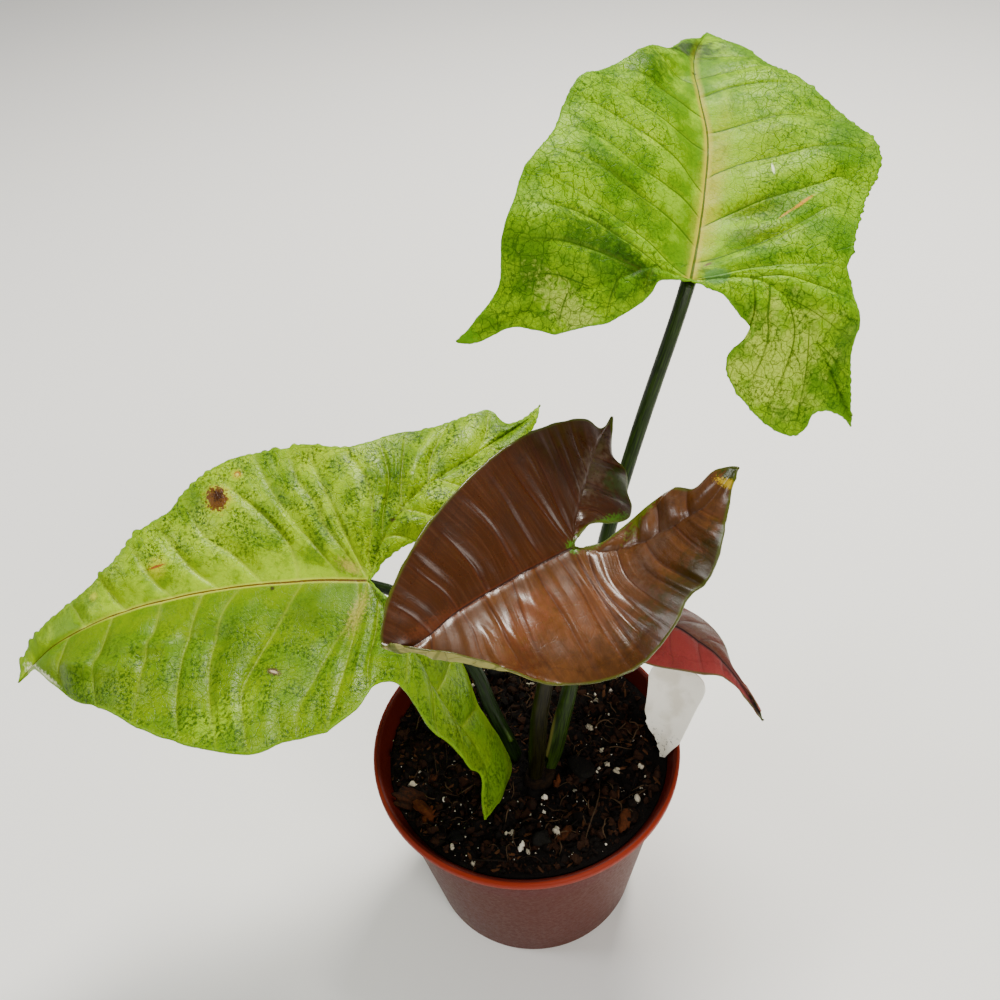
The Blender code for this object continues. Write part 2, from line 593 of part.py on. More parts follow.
def add_stem(collection):
    """The oval stump, tapered above the soil."""
    turn = np.arange(STEM_SIDES) * 2 * math.pi / STEM_SIDES
    rings = []
    for height, share in ((STEM_FOOT, 0.72), (STEM_FOOT + 5, 0.95), (SOIL_MIDDLE - 4, 1.0),
                          (SOIL_MIDDLE + 1, 0.98), (STEM_TOP, 0.88)):
        x = STEM_HALF[0] * share * np.cos(turn)
        y = STEM_HALF[1] * share * np.sin(turn)
        rings.append(np.column_stack([
            STEM_AT[0] + x * math.cos(STEM_TURN) - y * math.sin(STEM_TURN),
            STEM_AT[1] + x * math.sin(STEM_TURN) + y * math.cos(STEM_TURN), np.full(STEM_SIDES, height)]))
    grid = np.array(rings)
    return add_tube("stem", grid, collection, material("stem", (0.10, 0.07, 0.03), 0.6)), grid


def add_label(collection, name="plant_label", grow=0.0, finish=None):
    """The blank label, its edges read from LABEL_EDGES and curled a little towards the viewer."""
    columns = 4
    rise = np.array(LABEL_RISE) / np.linalg.norm(LABEL_RISE)
    across = np.array(LABEL_ACROSS) - rise * (np.array(LABEL_ACROSS) @ rise)
    across /= np.linalg.norm(across)
    face = np.cross(across, rise)
    height, left, right = np.array(LABEL_EDGES).T[:, :, None]
    height[0] -= grow
    height[-1] += grow
    x = left - grow + (right - left + 2 * grow) * np.linspace(0, 1, columns + 1)
    curl = LABEL_CURL * ((x - LABEL_MIDDLE) / 10) ** 2
    centre = (np.array(LABEL_FOOT) + x[..., None] * across + height[..., None] * rise
              + curl[..., None] * face)
    front = centre + face * (LABEL_THICKNESS / 2 + grow)
    back = centre - face * (LABEL_THICKNESS / 2 + grow)
    return add_tube(name, np.concatenate([front, back[:, ::-1]], axis=1), collection, finish)


def blade_normal(blade):
    """The blade's upward direction at its junction."""
    return turn_matrix(*blade.turn) @ np.array([0.0, 0.0, 1.0])


def seated(stalk, blade):
    """The stalk with its last point just under the blade's junction."""
    turned = turn_matrix(*blade.turn)
    inward = turned @ np.array([0.0, 1.6, 0.0])
    below = blade_normal(blade) * (BLADE_THICKNESS + GAP + 0.15)
    end = tuple(np.array(blade.at) + inward - below)
    return stalk._replace(points=list(stalk.points) + [end], radii=tuple(stalk.radii) + (stalk.radii[-1],))


def main():
    """Builds the plant and its pot."""
    clear_scene()
    plant = new_collection("arrowhead_plant")
    cutters = new_collection("cutters")
    add_pot(plant, cutters)
    soil = add_soil(plant, cutters)
    stem, stem_rings = add_stem(plant)
    middle = stem_rings.mean(axis=(0, 1))
    wide = stem_rings - [middle[0], middle[1], 0]
    wide[..., :2] *= 1 + GAP / STEM_HALF[1]
    wide += [middle[0], middle[1], 0]
    wide[0, :, 2] -= GAP
    wide[-1, :, 2] += 6
    cut(soil, add_tube("stem_hole", wide, cutters))
    add_label(plant, finish=material("white_plastic", (0.8, 0.79, 0.75), 0.45))
    cut(soil, add_label(cutters, "label_slot", grow=GAP))
    for blade, stalk in zip(BLADES, STALKS):
        add_blade(blade, plant)
        full = seated(stalk, blade)
        finish = material(stalk.name, stalk.colour, 0.4)
        add_tube(stalk.name, stalk_rings(full, blade_normal(blade)), plant, finish)
        holder = stem if stalk.name in ("petiole_tall", "petiole_bronze") else soil
        hole = stalk_rings(full, blade_normal(blade), extra=GAP)
        hole = hole[:1 + np.argmax(hole[..., 2].min(axis=1) > STEM_TOP + WING_CLEARANCE)]
        hole[0, :, 2] -= GAP
        cut(holder, add_tube(f"{stalk.name}_hole", hole, cutters))


main()
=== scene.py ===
"""The looks of an arrowhead plant in its nursery pot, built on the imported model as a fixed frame.

Flat coordinates of a blade are millimetres: the midrib runs along +y from the junction with the stalk,
and +x is the right half seen from above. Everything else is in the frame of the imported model, with the
pot's base centre at the origin, +Z up and +Y away from the viewer of the front.
"""
import logging
import math
from dataclasses import dataclass
from enum import Enum

import bmesh
import bpy
import numpy as np
from mathutils import Matrix

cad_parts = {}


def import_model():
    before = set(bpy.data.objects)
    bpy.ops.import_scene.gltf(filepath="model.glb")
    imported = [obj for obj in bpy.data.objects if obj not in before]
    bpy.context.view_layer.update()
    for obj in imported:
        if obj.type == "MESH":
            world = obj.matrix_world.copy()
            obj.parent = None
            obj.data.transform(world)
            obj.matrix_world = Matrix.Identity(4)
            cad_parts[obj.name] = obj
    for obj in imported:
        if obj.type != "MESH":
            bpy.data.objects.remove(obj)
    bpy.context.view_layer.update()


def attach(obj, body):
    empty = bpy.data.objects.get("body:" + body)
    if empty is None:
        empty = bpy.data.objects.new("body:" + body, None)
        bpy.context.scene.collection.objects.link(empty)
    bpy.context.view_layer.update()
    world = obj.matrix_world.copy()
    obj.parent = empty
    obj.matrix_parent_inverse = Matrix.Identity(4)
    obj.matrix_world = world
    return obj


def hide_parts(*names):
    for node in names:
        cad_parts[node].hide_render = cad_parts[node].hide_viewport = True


LOG = logging.getLogger("arrowhead_plant")
Array = np.ndarray
Socket = bpy.types.NodeSocket
Point = tuple[float, float]
Points = tuple[Point, ...]
Point3 = tuple[float, float, float]
MM = 0.001
# Clearance between pieces that touch, in millimetres
GAP = 0.3
# Points closer than this become one, in millimetres
MERGE = 0.01
# Index of refraction of a leaf's wax
WAX_IOR = 1.45
# Specular level of damp soil and bark
DAMP_SHINE = 0.12
# Blotches with a rim at least this soft lie under the flecks and veins
SOFT_RIM = 0.7
# How much a blade's columns crowd towards midrib and margin
CROWDING = 0.35
# Steps along each outline of a blade
FINE = 420

# The photograph's camera: where it stands in millimetres, and its right, up and backward directions
CAMERA_AT = (-2.2, -200.4, 369.1)
CAMERA_RIGHT = (0.9968, -0.0530, -0.0590)
CAMERA_UP = (0.0793, 0.6657, 0.7420)
CAMERA_BACK = (0.0, -0.7443, 0.6678)
CAMERA_LENS = 36.0
CAMERA_SENSOR = 36.0
# Where the lights point, in metres
PLANT_MIDDLE = (0.0, 0.0, 0.14)

RECORD_SLOTS = {
    "pot": "pot_plastic", "soil": "potting_soil", "stem": "stem_tissue", "plant_label": "label_plastic",
    "blade_tall": "green_leaf", "blade_left": "speckled_leaf", "blade_bronze": "bronze_leaf",
    "blade_pink": "pink_leaf", "petiole_tall": "green_stalk", "petiole_left": "green_stalk",
    "petiole_bronze": "dark_stalk", "petiole_pink": "dark_stalk"}


def linear(colour: str) -> tuple[float, float, float, float]:
    """Turns an sRGB hex colour such as "#aa5522" into linear RGBA.

    Args:
        colour: Six hexadecimal digits after a hash sign.

    Returns:
        Linear red, green and blue, and full opacity.
    """
    parts = [int(colour[start:start + 2], 16) / 255 for start in (1, 3, 5)]
    red, green, blue = (p / 12.92 if p <= 0.04045 else ((p + 0.055) / 1.055) ** 2.4 for p in parts)
    return red, green, blue, 1.0


class Sock(Enum):
    """Input and output numbers of the colour Mix node, which has one set for each data type."""

    FACTOR = 0
    FIRST = 6
    SECOND = 7
    COLOUR = 2


class Look:
    """A material in the making: its node tree and its Principled shader."""

    def __init__(self, name: str) -> None:
        """Starts a material with the name of the real one."""
        self.material = bpy.data.materials.new(name)
        self.material.use_nodes = True
        self.tree = self.material.node_tree
        self.shader = self.tree.nodes["Principled BSDF"]

    def feed(self, inputs: dict, node: bpy.types.Node | None = None) -> None:
        """Gives inputs their values or links.

        Args:
            inputs: Input names or numbers, each with a socket, a number or a hex colour.
            node: The node, or None for the shader.
        """
        node = node or self.shader
        for name, value in inputs.items():
            if isinstance(value, Socket):
                self.tree.links.new(value, node.inputs[name])
            else:
                node.inputs[name].default_value = linear(value) if isinstance(value, str) else value

    def add(self, kind: str, settings: dict | None = None, inputs: dict | None = None) -> bpy.types.Node:
        """Adds one node with its settings and its input values or links.

        Args:
            kind: The node's type name.
            settings: Property names and their values.
            inputs: As for feed.

        Returns:
            The new node.
        """
        node = self.tree.nodes.new(kind)
        for name, value in (settings or {}).items():
            setattr(node, name, value)
        self.feed(inputs or {}, node)
        return node

    def known(self, name: str, output: str = "Fac") -> Socket:
        """What the mesh stores under a name at each point."""
        return self.add("ShaderNodeAttribute", {"attribute_name": name}).outputs[output]

    def mix(self, factor: object, first: object, second: object) -> Socket:
        """The first colour where the factor is 0 and the second where it is 1."""
        return self.add("ShaderNodeMix", {"data_type": "RGBA"}, {
            Sock.FACTOR.value: factor, Sock.FIRST.value: first,
            Sock.SECOND.value: second}).outputs[Sock.COLOUR.value]

    def ramp(self, value: object, low: float, high: float, start: float = 0.0, end: float = 1.0) -> Socket:
        """Maps a value from the range low to high onto start to end, smoothly and clamped at both ends.

        Args:
            value: The socket to map.
            low: The value that gives start.
            high: The value that gives end.
            start: The result at low.
            end: The result at high.

        Returns:
            The mapped value.
        """
        return self.add("ShaderNodeMapRange", {"interpolation_type": "SMOOTHSTEP", "clamp": True}, {
            "Value": value, "From Min": low, "From Max": high, "To Min": start,
            "To Max": end}).outputs["Result"]

    def math(self, operation: str, first: object, second: object = 0.0) -> Socket:
        """The result of a Math node's operation on two numbers."""
        return self.add("ShaderNodeMath", {"operation": operation}, {0: first, 1: second}).outputs[0]

    def times(self, first: object, second: object) -> Socket:
        """The product of two numbers."""
        return self.math("MULTIPLY", first, second)

    def minus(self, first: object, second: object) -> Socket:
        """The first number less the second."""
        return self.math("SUBTRACT", first, second)

    def most(self, first: object, second: object) -> Socket:
        """The larger of two numbers."""
        return self.math("MAXIMUM", first, second)

    def length(self, vector: Socket) -> Socket:
        """The length of a vector."""
        return self.add("ShaderNodeVectorMath", {"operation": "LENGTH"}, {0: vector}).outputs["Value"]

    def noise(self, where: Socket, size: float, detail: float, roughness: float = 0.5,
              solid: bool = False) -> Socket:
        """Adds a noise with features of a given size.

        Args:
            where: The coordinates.
            size: The size of the largest features, in the unit of the coordinates.
            detail: The number of finer octaves.
            roughness: How strong the finer octaves are.
            solid: Whether the noise fills space instead of a plane.

        Returns:
            The noise's value, about 0.3 to 0.7.
        """
        return self.add("ShaderNodeTexNoise", {"noise_dimensions": "3D" if solid else "2D"}, {
            "Vector": where, "Scale": 1 / size, "Detail": detail, "Roughness": roughness}).outputs["Fac"]

    def net(self, where: Socket, cell: float, width: float) -> Socket:
        """Adds the lines of a net of minor veins.

        Args:
            where: The flat coordinates in millimetres.
            cell: The width of a mesh of the net.
            width: Half the line's width as a share of the mesh.

        Returns:
            1 on the lines and 0 between them.
        """
        cells = self.add("ShaderNodeTexVoronoi", {"feature": "DISTANCE_TO_EDGE",
        "voronoi_dimensions": "2D"},
                         {"Vector": where, "Scale": 1 / cell})
        return self.ramp(cells.outputs["Distance"], 0.0, width, 1.0, 0.0)

    def bump(self, height: Socket, depth_mm: float) -> None:
        """Gives the shader relief, depth_mm deep where the height goes from 0 to 1."""
        relief = self.add("ShaderNodeBump", None, {"Height": height, "Distance": depth_mm * MM})
        self.feed({"Strength": 1.0}, relief)
        self.feed({"Normal": relief.outputs["Normal"]})


def lengths(path: Array) -> Array:
    """The distance along a path to each of its points."""
    return np.concatenate([[0], np.cumsum(np.linalg.norm(np.diff(path, axis=0), axis=1))])


def around(sides: int) -> Array:
    """The angles of evenly spaced points round a circle."""
    return np.arange(sides) * 2 * math.pi / sides


def at_fractions(path: Array, fractions: Array) -> Array:
    """Samples a fine path at fractions of its length.

    Args:
        path: Points, one per row.
        fractions: Numbers from 0 to 1.

    Returns:
        One point for each fraction.
    """
    along = lengths(path)
    return np.column_stack([np.interp(fractions * along[-1], along, path[:, axis])
                            for axis in range(path.shape[1])])


def smooth_path(points: object, count: int) -> Array:
    """Samples the Catmull-Rom curve through points, evenly by arc length.

    Each piece is 0.5 (2b + (c - a) u + (2a - 5b + 4c - d) u^2 + (3b - a - 3c + d) u^3) for four
    neighbouring points a, b, c, d and u from 0 to 1.

    Args:
        points: The points that the curve passes through.
        count: The number of steps; the result has one point more.

    Returns:
        The sampled points, one per row.
    """
    given = np.asarray(points, float)
    ends = np.vstack([2 * given[0] - given[1], given, 2 * given[-1] - given[-2]])
    u = np.linspace(0, 1, 12, endpoint=False)[None, :, None]
    a, b, c, d = (ends[start:len(ends) - 3 + start, None] for start in range(4))
    pieces = 0.5 * (2 * b + (c - a) * u + (2 * a - 5 * b + 4 * c - d) * u ** 2
                    + (3 * b - a - 3 * c + d) * u ** 3)
    return at_fractions(np.vstack([pieces.reshape(-1, given.shape[1]), given[-1:]]),
                        np.linspace(0, 1, count + 1))


def crowded(count: int, share: float) -> Array:
    """Numbers from 0 to 1 that crowd towards both ends: (1 - share) v + share (1 - cos pi v) / 2.

    Args:
        count: The number of steps.
        share: 0 for even steps, 1 for cosine steps.

    Returns:
        count + 1 numbers.
    """
    v = np.linspace(0, 1, count + 1)
    return (1 - share) * v + share * 0.5 * (1 - np.cos(math.pi * v))


def lattice_noise(x: Array, y: Array, cell: float, seed: int) -> Array:
    """Smooth noise from -1 to 1: random values on a square lattice, blended with 3f^2 - 2f^3.

    Args:
        x: First coordinates in millimetres.
        y: Second coordinates in millimetres.
        cell: The lattice spacing in millimetres.
        seed: Seeds the random values.

    Returns:
        The noise at each place.
    """
    side = 128
    table = np.random.default_rng(seed).uniform(-1, 1, (side, side))
    u, v = x / cell + side / 2, y / cell + side / 2
    i, j = np.floor(u).astype(int), np.floor(v).astype(int)
    fu, fv = u - i, v - j
    fu, fv = fu * fu * (3 - 2 * fu), fv * fv * (3 - 2 * fv)
    i0, i1, j0, j1 = i % side, (i + 1) % side, j % side, (j + 1) % side
    return ((table[i0, j0] * (1 - fu) + table[i1, j0] * fu) * (1 - fv)
            + (table[i0, j1] * (1 - fu) + table[i1, j1] * fu) * fv)


def grid_quads(rows: int, columns: int, closed: bool = False, start: int = 0,
flipped: bool = False) -> Array:
    """Numbers the quads of a grid whose points are stored row by row.

    Args:
        rows: Rows of points.
        columns: Points in a row.
        closed: Whether each row closes on itself.
        start: The number of the first point.
        flipped: Whether the faces look the other way.

    Returns:
        Four point numbers per face.
    """
    index = np.arange(rows * columns).reshape(rows, columns) + start
    if closed:
        index = np.hstack([index, index[:, :1]])
    quads = np.stack([index[:-1, :-1], index[1:, :-1], index[1:, 1:], index[:-1, 1:]], -1).reshape(-1, 4)
    return quads[:, ::-1] if flipped else quads


def tube_faces(rings: int, sides: int, start: int = 0, flipped: bool = True) -> list:
    """Numbers the faces of a tube of closed rings, with a cap at each end.

    Args:
        rings: The number of rings.
        sides: Points in a ring.
        start: The number of the first point.
        flipped: Whether the faces look the other way.

    Returns:
        The point numbers of each face.
    """
    numbers = np.arange(start, start + rings * sides)
    caps = [numbers[:sides], numbers[-sides:][::-1]]
    caps = [cap[::-1] for cap in caps] if flipped else caps
    return grid_quads(rings, sides, True, start, flipped).tolist() + [cap.tolist() for cap in caps]


def zipped(first: Array, first_at: Array, second: Array, second_at: Array) -> Array:
    """Triangles between two rows of points that run side by side with different spacing.

    The points of both rows are taken in order along them, and each is joined to the latest point
    of either row.

    Args:
        first: Numbers of the first row's points.
        first_at: Their places along the row, rising.
        second: Numbers of the second row's points.
        second_at: Their places along the row, rising.

    Returns:
        The triangles, one per row.
    """
    order = np.argsort(np.concatenate([first_at[1:], second_at[1:]]), kind="stable")
    from_first = order < len(first_at) - 1
    i = np.concatenate([[0], np.cumsum(from_first)])
    j = np.concatenate([[0], np.cumsum(~from_first)])
    latest = np.where(from_first, first[i[1:]], second[j[1:]])
    return np.column_stack([first[i[:-1]], second[j[:-1]], latest])


def new_piece(name: str, points: Array, faces: list, finishes: list, attributes: dict | None = None,
              merge_mm: float = 0.0, smooth: bool = True) -> bpy.types.Object:
    """Makes a mesh object at the origin.

    Args:
        name: The object's name.
        points: Points in millimetres, one per row.
        faces: Point numbers of each face.
        finishes: Materials for the object's slots.
        attributes: Names with one number or one vector for each point.
        merge_mm: Points closer than this become one; 0 leaves them.
        smooth: Whether the faces are shaded smooth.

    Returns:
        The new object.
    """
    mesh = bpy.data.meshes.new(name)
    mesh.from_pydata((np.asarray(points) * MM).tolist(), [], faces)
    for label, values in (attributes or {}).items():
        values = np.asarray(values, np.float32)
        kind, field = ("FLOAT", "value") if values.ndim == 1 else ("FLOAT_VECTOR", "vector")
        mesh.attributes.new(label, kind, "POINT").data.foreach_set(field, values.ravel())
    if merge_mm:
        shell = bmesh.new()
        shell.from_mesh(mesh)
        bmesh.ops.remove_doubles(shell, verts=shell.verts, dist=merge_mm * MM)
        bmesh.ops.dissolve_degenerate(shell, edges=shell.edges, dist=merge_mm * MM / 2)
        loose = [corner for corner in shell.verts if not corner.link_faces]
        bmesh.ops.delete(shell, geom=loose, context="VERTS")
        shell.to_mesh(mesh)
        shell.free()
    for finish in finishes:
        mesh.materials.append(finish)
    mesh.polygons.foreach_set("use_smooth", np.full(len(mesh.polygons), smooth))
    mesh.update()
    piece = bpy.data.objects.new(name, mesh)
    bpy.context.scene.collection.objects.link(piece)
    return piece


def place(piece: bpy.types.Object, slot: str, *nodes: str) -> bpy.types.Object:
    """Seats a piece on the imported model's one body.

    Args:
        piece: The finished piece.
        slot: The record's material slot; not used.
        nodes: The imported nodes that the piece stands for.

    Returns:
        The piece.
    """
    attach(piece, "root")
    if nodes:
        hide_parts(*nodes)
    LOG.info("%s: %d faces", piece.name, len(piece.data.polygons))
    return piece


@dataclass(frozen=True)
class Blotch:
    """A coloured patch of a blade, an ellipse in flat coordinates with a ragged or soft rim; some are the
    leaf's own colour, others painted shade, light and sheen.
    """

    at: Point
    reach: Point
    turn: float
    colour: str
    strength: float = 1.0
    soft: float = 0.6
    ragged: float = 2.0

    def over(self, look: Look, flat: Socket, colour: Socket) -> Socket:
        """Lays the patch over a colour.

        Args:
            look: The material.
            flat: The flat coordinates in millimetres.
            colour: The colour underneath.

        Returns:
            The new colour.
        """
        ellipse = look.add("ShaderNodeMapping", {"vector_type": "TEXTURE"}, {
            "Vector": flat, "Location": (*self.at, 0.0), "Rotation": (0.0, 0.0, math.radians(self.turn)),
            "Scale": (*self.reach, 1.0)})
        ripple = look.noise(flat, min(self.reach) / 3.2, 3.0)
        rough = look.times(look.minus(ripple, 0.5), self.ragged)
        near = look.math("ADD", look.length(ellipse.outputs[0]), rough)
        inside = look.ramp(near, 1.0 + self.soft / 3, 1.0 - self.soft, 0.0, self.strength)
        return look.mix(inside, colour, self.colour)


@dataclass(frozen=True)
class LeafFinish:
    """Living leaf tissue: a thin waxy skin over a mottled, netted interior.

    The eye sees yellow-green where pigment is missing, dark flecks where it is not, sunken veins
    and a soft waxy sheen. Some blotches, the streaks along the side veins and the left half's colour
    paint shade, light and sheen into the skin. All sizes are millimetres of the flat blade.
    """

    name: str
    light: str
    deep: str
    fleck: str
    vein: str
    band: str
    midrib: str
    margin: str
    under: str
    # Colour for the whole left half that paints how light falls on it: painted shade on the left leaf,
    # painted reflection and sheen on the bronze and pink leaves; empty for none
    left_half_painted_light: str = ""
    deep_share: float = 0.8
    fleck_share: float = 0.4
    fleck_from: float = 0.5
    halo: float = 0.25
    vein_strength: float = 0.6
    cloud_mm: float = 17.0
    blob_mm: float = 5.5
    grain_mm: float = 1.1
    net_mm: float = 3.4
    net_strength: float = 0.35
    # Strength of the streaks along the side veins: painted sheen in the colour, and relief in the bump
    silk: float = 0.0
    painted_sheen_colour: str = "#ffffff"
    band_mm: float = 2.2
    grain_relief: float = 0.5
    rib_strength: float = 0.5
    margin_mm: float = 0.8
    roughness: float = 0.42
    shine: float = 0.25
    gloss: float = 0.0
    blotches: tuple[Blotch, ...] = ()

    def blotched(self, look: Look, flat: Socket, colour: Socket, soft: bool) -> Socket:
        """Lays the soft or the sharp blotches over a colour, in their order.

        Args:
            look: The material.
            flat: The flat coordinates in millimetres.
            colour: The colour underneath.
            soft: Whether the soft ones are laid.

        Returns:
            The new colour.
        """
        for blotch in self.blotches:
            if (blotch.soft >= SOFT_RIM) == soft:
                colour = blotch.over(look, flat, colour)
        return colour

    def upper(self) -> bpy.types.Material:
        """Builds the upper skin.

        A colour of painted light for the left half, mottling, streaks of painted sheen along the side
        veins, soft blotches that hold painted shade and light besides zones of the leaf's own colour,
        flecks, two nets of minor veins, side veins with their pale borders, the vein inside the margin,
        the midrib's border, sharp blotches, midrib and margin are laid over each other in that order.

        Returns:
            The material.
        """
        look = Look(f"{self.name}_living_leaf_upper_skin")
        flat = look.known("flat", "Vector")
        mid, side, edge, fade, axis, lobe, lane = (
            look.known(name) for name in ("mid", "side", "edge", "fade", "axis", "lobe", "lane"))
        clouds = look.noise(flat, self.cloud_mm, 5.0, 0.6)
        blobs = look.noise(flat, self.blob_mm, 4.0, 0.6)
        grain = look.noise(flat, self.grain_mm, 6.0, 0.72)
        colour = self.light
        # Painted light: the left half takes its own colour for how the light falls on it
        if self.left_half_painted_light:
            colour = look.mix(look.ramp(look.known("half"), -0.02, 0.02), self.left_half_painted_light, colour)
        colour = look.mix(look.ramp(clouds, 0.42, 0.62, 0.0, self.deep_share), colour, self.deep)
        colour = look.mix(look.ramp(blobs, 0.48, 0.68, 0.0, self.deep_share * 0.6), colour, self.deep)
        across = look.add("ShaderNodeCombineXYZ", None, {"X": lane, "Y": look.times(mid, 0.06)})
        streaks = look.noise(across.outputs["Vector"], 1.0, 4.0, 0.6)
        # Painted sheen: pale streaks along the side veins
        if self.silk:
            colour = look.mix(look.ramp(streaks, 0.45, 0.72, 0.0, self.silk), colour, self.painted_sheen_colour)
        colour = self.blotched(look, flat, colour, True)
        outer = look.most(look.ramp(mid, 4.0, 22.0, 0.3, 1.0), lobe)
        where = look.times(look.ramp(look.noise(flat, 8.0, 3.0, 0.6), 0.36, 0.6, 0.1, 1.0),
                           look.times(outer, self.fleck_share))
        flecks = look.ramp(grain, self.fleck_from, self.fleck_from + 0.14)
        colour = look.mix(look.times(flecks, where), colour, self.fleck)
        wander = look.add("ShaderNodeTexNoise", {"noise_dimensions": "2D"},
                          {"Vector": flat, "Scale": 1 / 4.0, "Detail": 3.0})
        shifted = look.add("ShaderNodeVectorMath", {"operation": "MULTIPLY_ADD"},
                           {0: wander.outputs["Color"], 1: (3.2, 3.2, 0.0), 2: flat}).outputs["Vector"]
        meshes = look.most(look.net(shifted, self.net_mm, 0.06),
                           look.times(look.net(shifted, self.net_mm / 2.7, 0.10), 0.6))
        meshes = look.times(meshes, outer)
        colour = look.mix(look.times(meshes, self.net_strength), colour, self.fleck)
        border = look.times(look.ramp(side, 0.3, 1.5, self.halo, 0.0), fade)
        colour = look.mix(border, colour, self.band)
        lines = look.times(look.ramp(side, 0.1, 0.5, self.vein_strength, 0.0), fade)
        colour = look.mix(lines, colour, self.vein)
        drift = look.minus(edge, look.times(blobs, 6.0))
        ring = look.math("ABSOLUTE", look.minus(drift, 1.4))
        colour = look.mix(look.ramp(ring, 0.05, 0.4, self.vein_strength * 0.6, 0.0), colour, self.fleck)
        strong = look.times(axis, look.minus(1.0, lobe))
        band = look.times(look.ramp(mid, self.band_mm * 0.1, self.band_mm, 0.85, 0.0),
                          look.ramp(strong, 0.05, 0.5))
        colour = look.mix(band, colour, self.band)
        colour = self.blotched(look, flat, colour, False)
        width = look.math("ADD", look.times(axis, 0.45), 0.22)
        core = look.ramp(look.math("DIVIDE", mid, width), 0.4, 1.0, 0.95, 0.0)
        fainter = look.minus(1.0, look.times(lobe, 1.0 - self.rib_strength))
        colour = look.mix(look.times(core, fainter), colour, self.midrib)
        colour = look.mix(look.ramp(edge, 0.15, self.margin_mm, 0.8, 0.0), colour, self.margin)
        look.feed({"Base Color": colour, "IOR": WAX_IOR, "Specular IOR Level": self.shine,
                   "Roughness": look.ramp(clouds, 0.3, 0.7, self.roughness * 0.85, self.roughness * 1.15),
                   "Subsurface Weight": 0.1, "Subsurface Radius": (0.4, 0.8, 0.15), "Subsurface Scale": MM,
                   "Coat Weight": self.gloss, "Coat Roughness": 0.16})
        relief = look.times(look.minus(grain, meshes), self.grain_relief)
        look.bump(look.math("ADD", relief, look.times(streaks, 3.0 * self.silk)), 0.16)
        return look.material

    def lower(self) -> bpy.types.Material:
        """Builds the duller, paler underside with its raised net.

        Returns:
            The material.
        """
        look = Look(f"{self.name}_living_leaf_underside")
        flat = look.known("flat", "Vector")
        grain = look.noise(flat, 6.0, 6.0, 0.65)
        lines = look.net(flat, self.net_mm, 0.06)
        colour = look.mix(look.ramp(grain, 0.35, 0.7, 0.0, 0.3), self.under, self.deep)
        veins = look.most(look.ramp(look.known("side"), 0.2, 0.6, 0.6, 0.0),
                          look.ramp(look.known("mid"), 0.5, 1.1, 0.9, 0.0))
        colour = look.mix(look.most(veins, look.times(lines, 0.3)), colour, self.margin)
        look.feed({"Base Color": colour, "Roughness": min(0.9, self.roughness + 0.15), "IOR": WAX_IOR,
                   "Specular IOR Level": self.shine})
        look.bump(look.math("ADD", lines, grain), 0.15)
        return look.material


@dataclass(frozen=True)
class Crease:
    """A line beyond which the flat blade is rolled.

    at is a point of the line, heading the way the rolled part lies in degrees from +x, reach the
    length of the roll, angle its degrees with plus lifting, side 1 right half, -1 left half, 0 both.
    """

    at: Point
    heading: float
    reach: float
    angle: float
    side: int

    def rolled(self, points: Array, sides: Array) -> Array:
        """Bends what lies past the line round a cylinder and carries on straight beyond it.

        With r = reach / angle and a = past / r, a point moves to (r - z) sin a along the heading
        and to r - (r - z) cos a in height.

        Args:
            points: Points of the blade, one per row.
            sides: The half of each point.

        Returns:
            The bent points.
        """
        heading = math.radians(self.heading)
        outward = np.array([math.cos(heading), math.sin(heading)])
        radius = self.reach / math.radians(self.angle)
        past = (points[:, :2] - np.array(self.at)) @ outward
        height = points[:, 2]
        angle = np.clip(past, 0, self.reach) / radius
        beyond = np.maximum(past - self.reach, 0)
        moved = (past > 0) & ((self.side == 0) | (sides == self.side))
        new_past = (radius - height) * np.sin(angle) + beyond * np.cos(angle)
        new_height = radius - (radius - height) * np.cos(angle) + beyond * np.sin(angle)
        bent = points.copy()
        bent[:, :2] += np.where(moved, new_past - past, 0)[:, None] * outward
        bent[:, 2] = np.where(moved, new_height, height)
        return bent


@dataclass(frozen=True)
class Bulge:
    """A pucker of the blade: an ellipse in flat coordinates that stands up by a height."""

    at: Point
    reach: Point
    turn: float
    height: float

    def lift(self, flat: Array) -> Array:
        """Height of the pucker, height times exp(-q^2) with q the distance in ellipse radii.

        Args:
            flat: Flat coordinates, one point per row.

        Returns:
            The height at each point.
        """
        turn = math.radians(self.turn)
        away = flat - np.array(self.at)
        u = (away[:, 0] * math.cos(turn) + away[:, 1] * math.sin(turn)) / self.reach[0]
        v = (-away[:, 0] * math.sin(turn) + away[:, 1] * math.cos(turn)) / self.reach[1]
        return self.height * np.exp(-(u * u + v * v))


class Part(Enum):
    """The regions of half a blade, each with its range of places along the whole margin."""

    BLADE = (0.0, 1.0)
    LOBE = (1.0, 1.6)
    SINUS = (1.6, 1.6)


@dataclass(frozen=True)
class Half:
    """Half of a blade in flat coordinates.

    blade is the margin from the apex to the shoulder, lobe goes on to the tip of the basal lobe,
    sinus comes back to the junction, and rib is the vein along the lobe. Each side vein runs from
    the midrib or rib to the margin that its list is named for.
    """

    blade: Points
    lobe: Points
    sinus: Points
    rib: Points
    blade_veins: tuple[Points, ...]
    lobe_veins: tuple[Points, ...]
    sinus_veins: tuple[Points, ...]


@dataclass(frozen=True)
class Patch:
    """One region of a half blade between two veins.

    flat has the points in rows from midrib to margin and relief their heights. along says where
    each row starts on the midrib or rib. known is what the finish reads: mid and side, the distances
    to the midrib or rib and to the nearest side vein, axis, how strong the midrib is, fade, how
    strong the side veins are, lane, a coordinate across them, and lobe, 1 in the basal lobes.
    """

    part: Part
    flat: Array
    relief: Array
    along: Array
    known: dict[str, Array]


@dataclass(frozen=True)
class Cut:
    """Where a side vein leaves the inner path and meets the outer one, and its points or None."""

    start: int
    stop: int
    row: Array | None


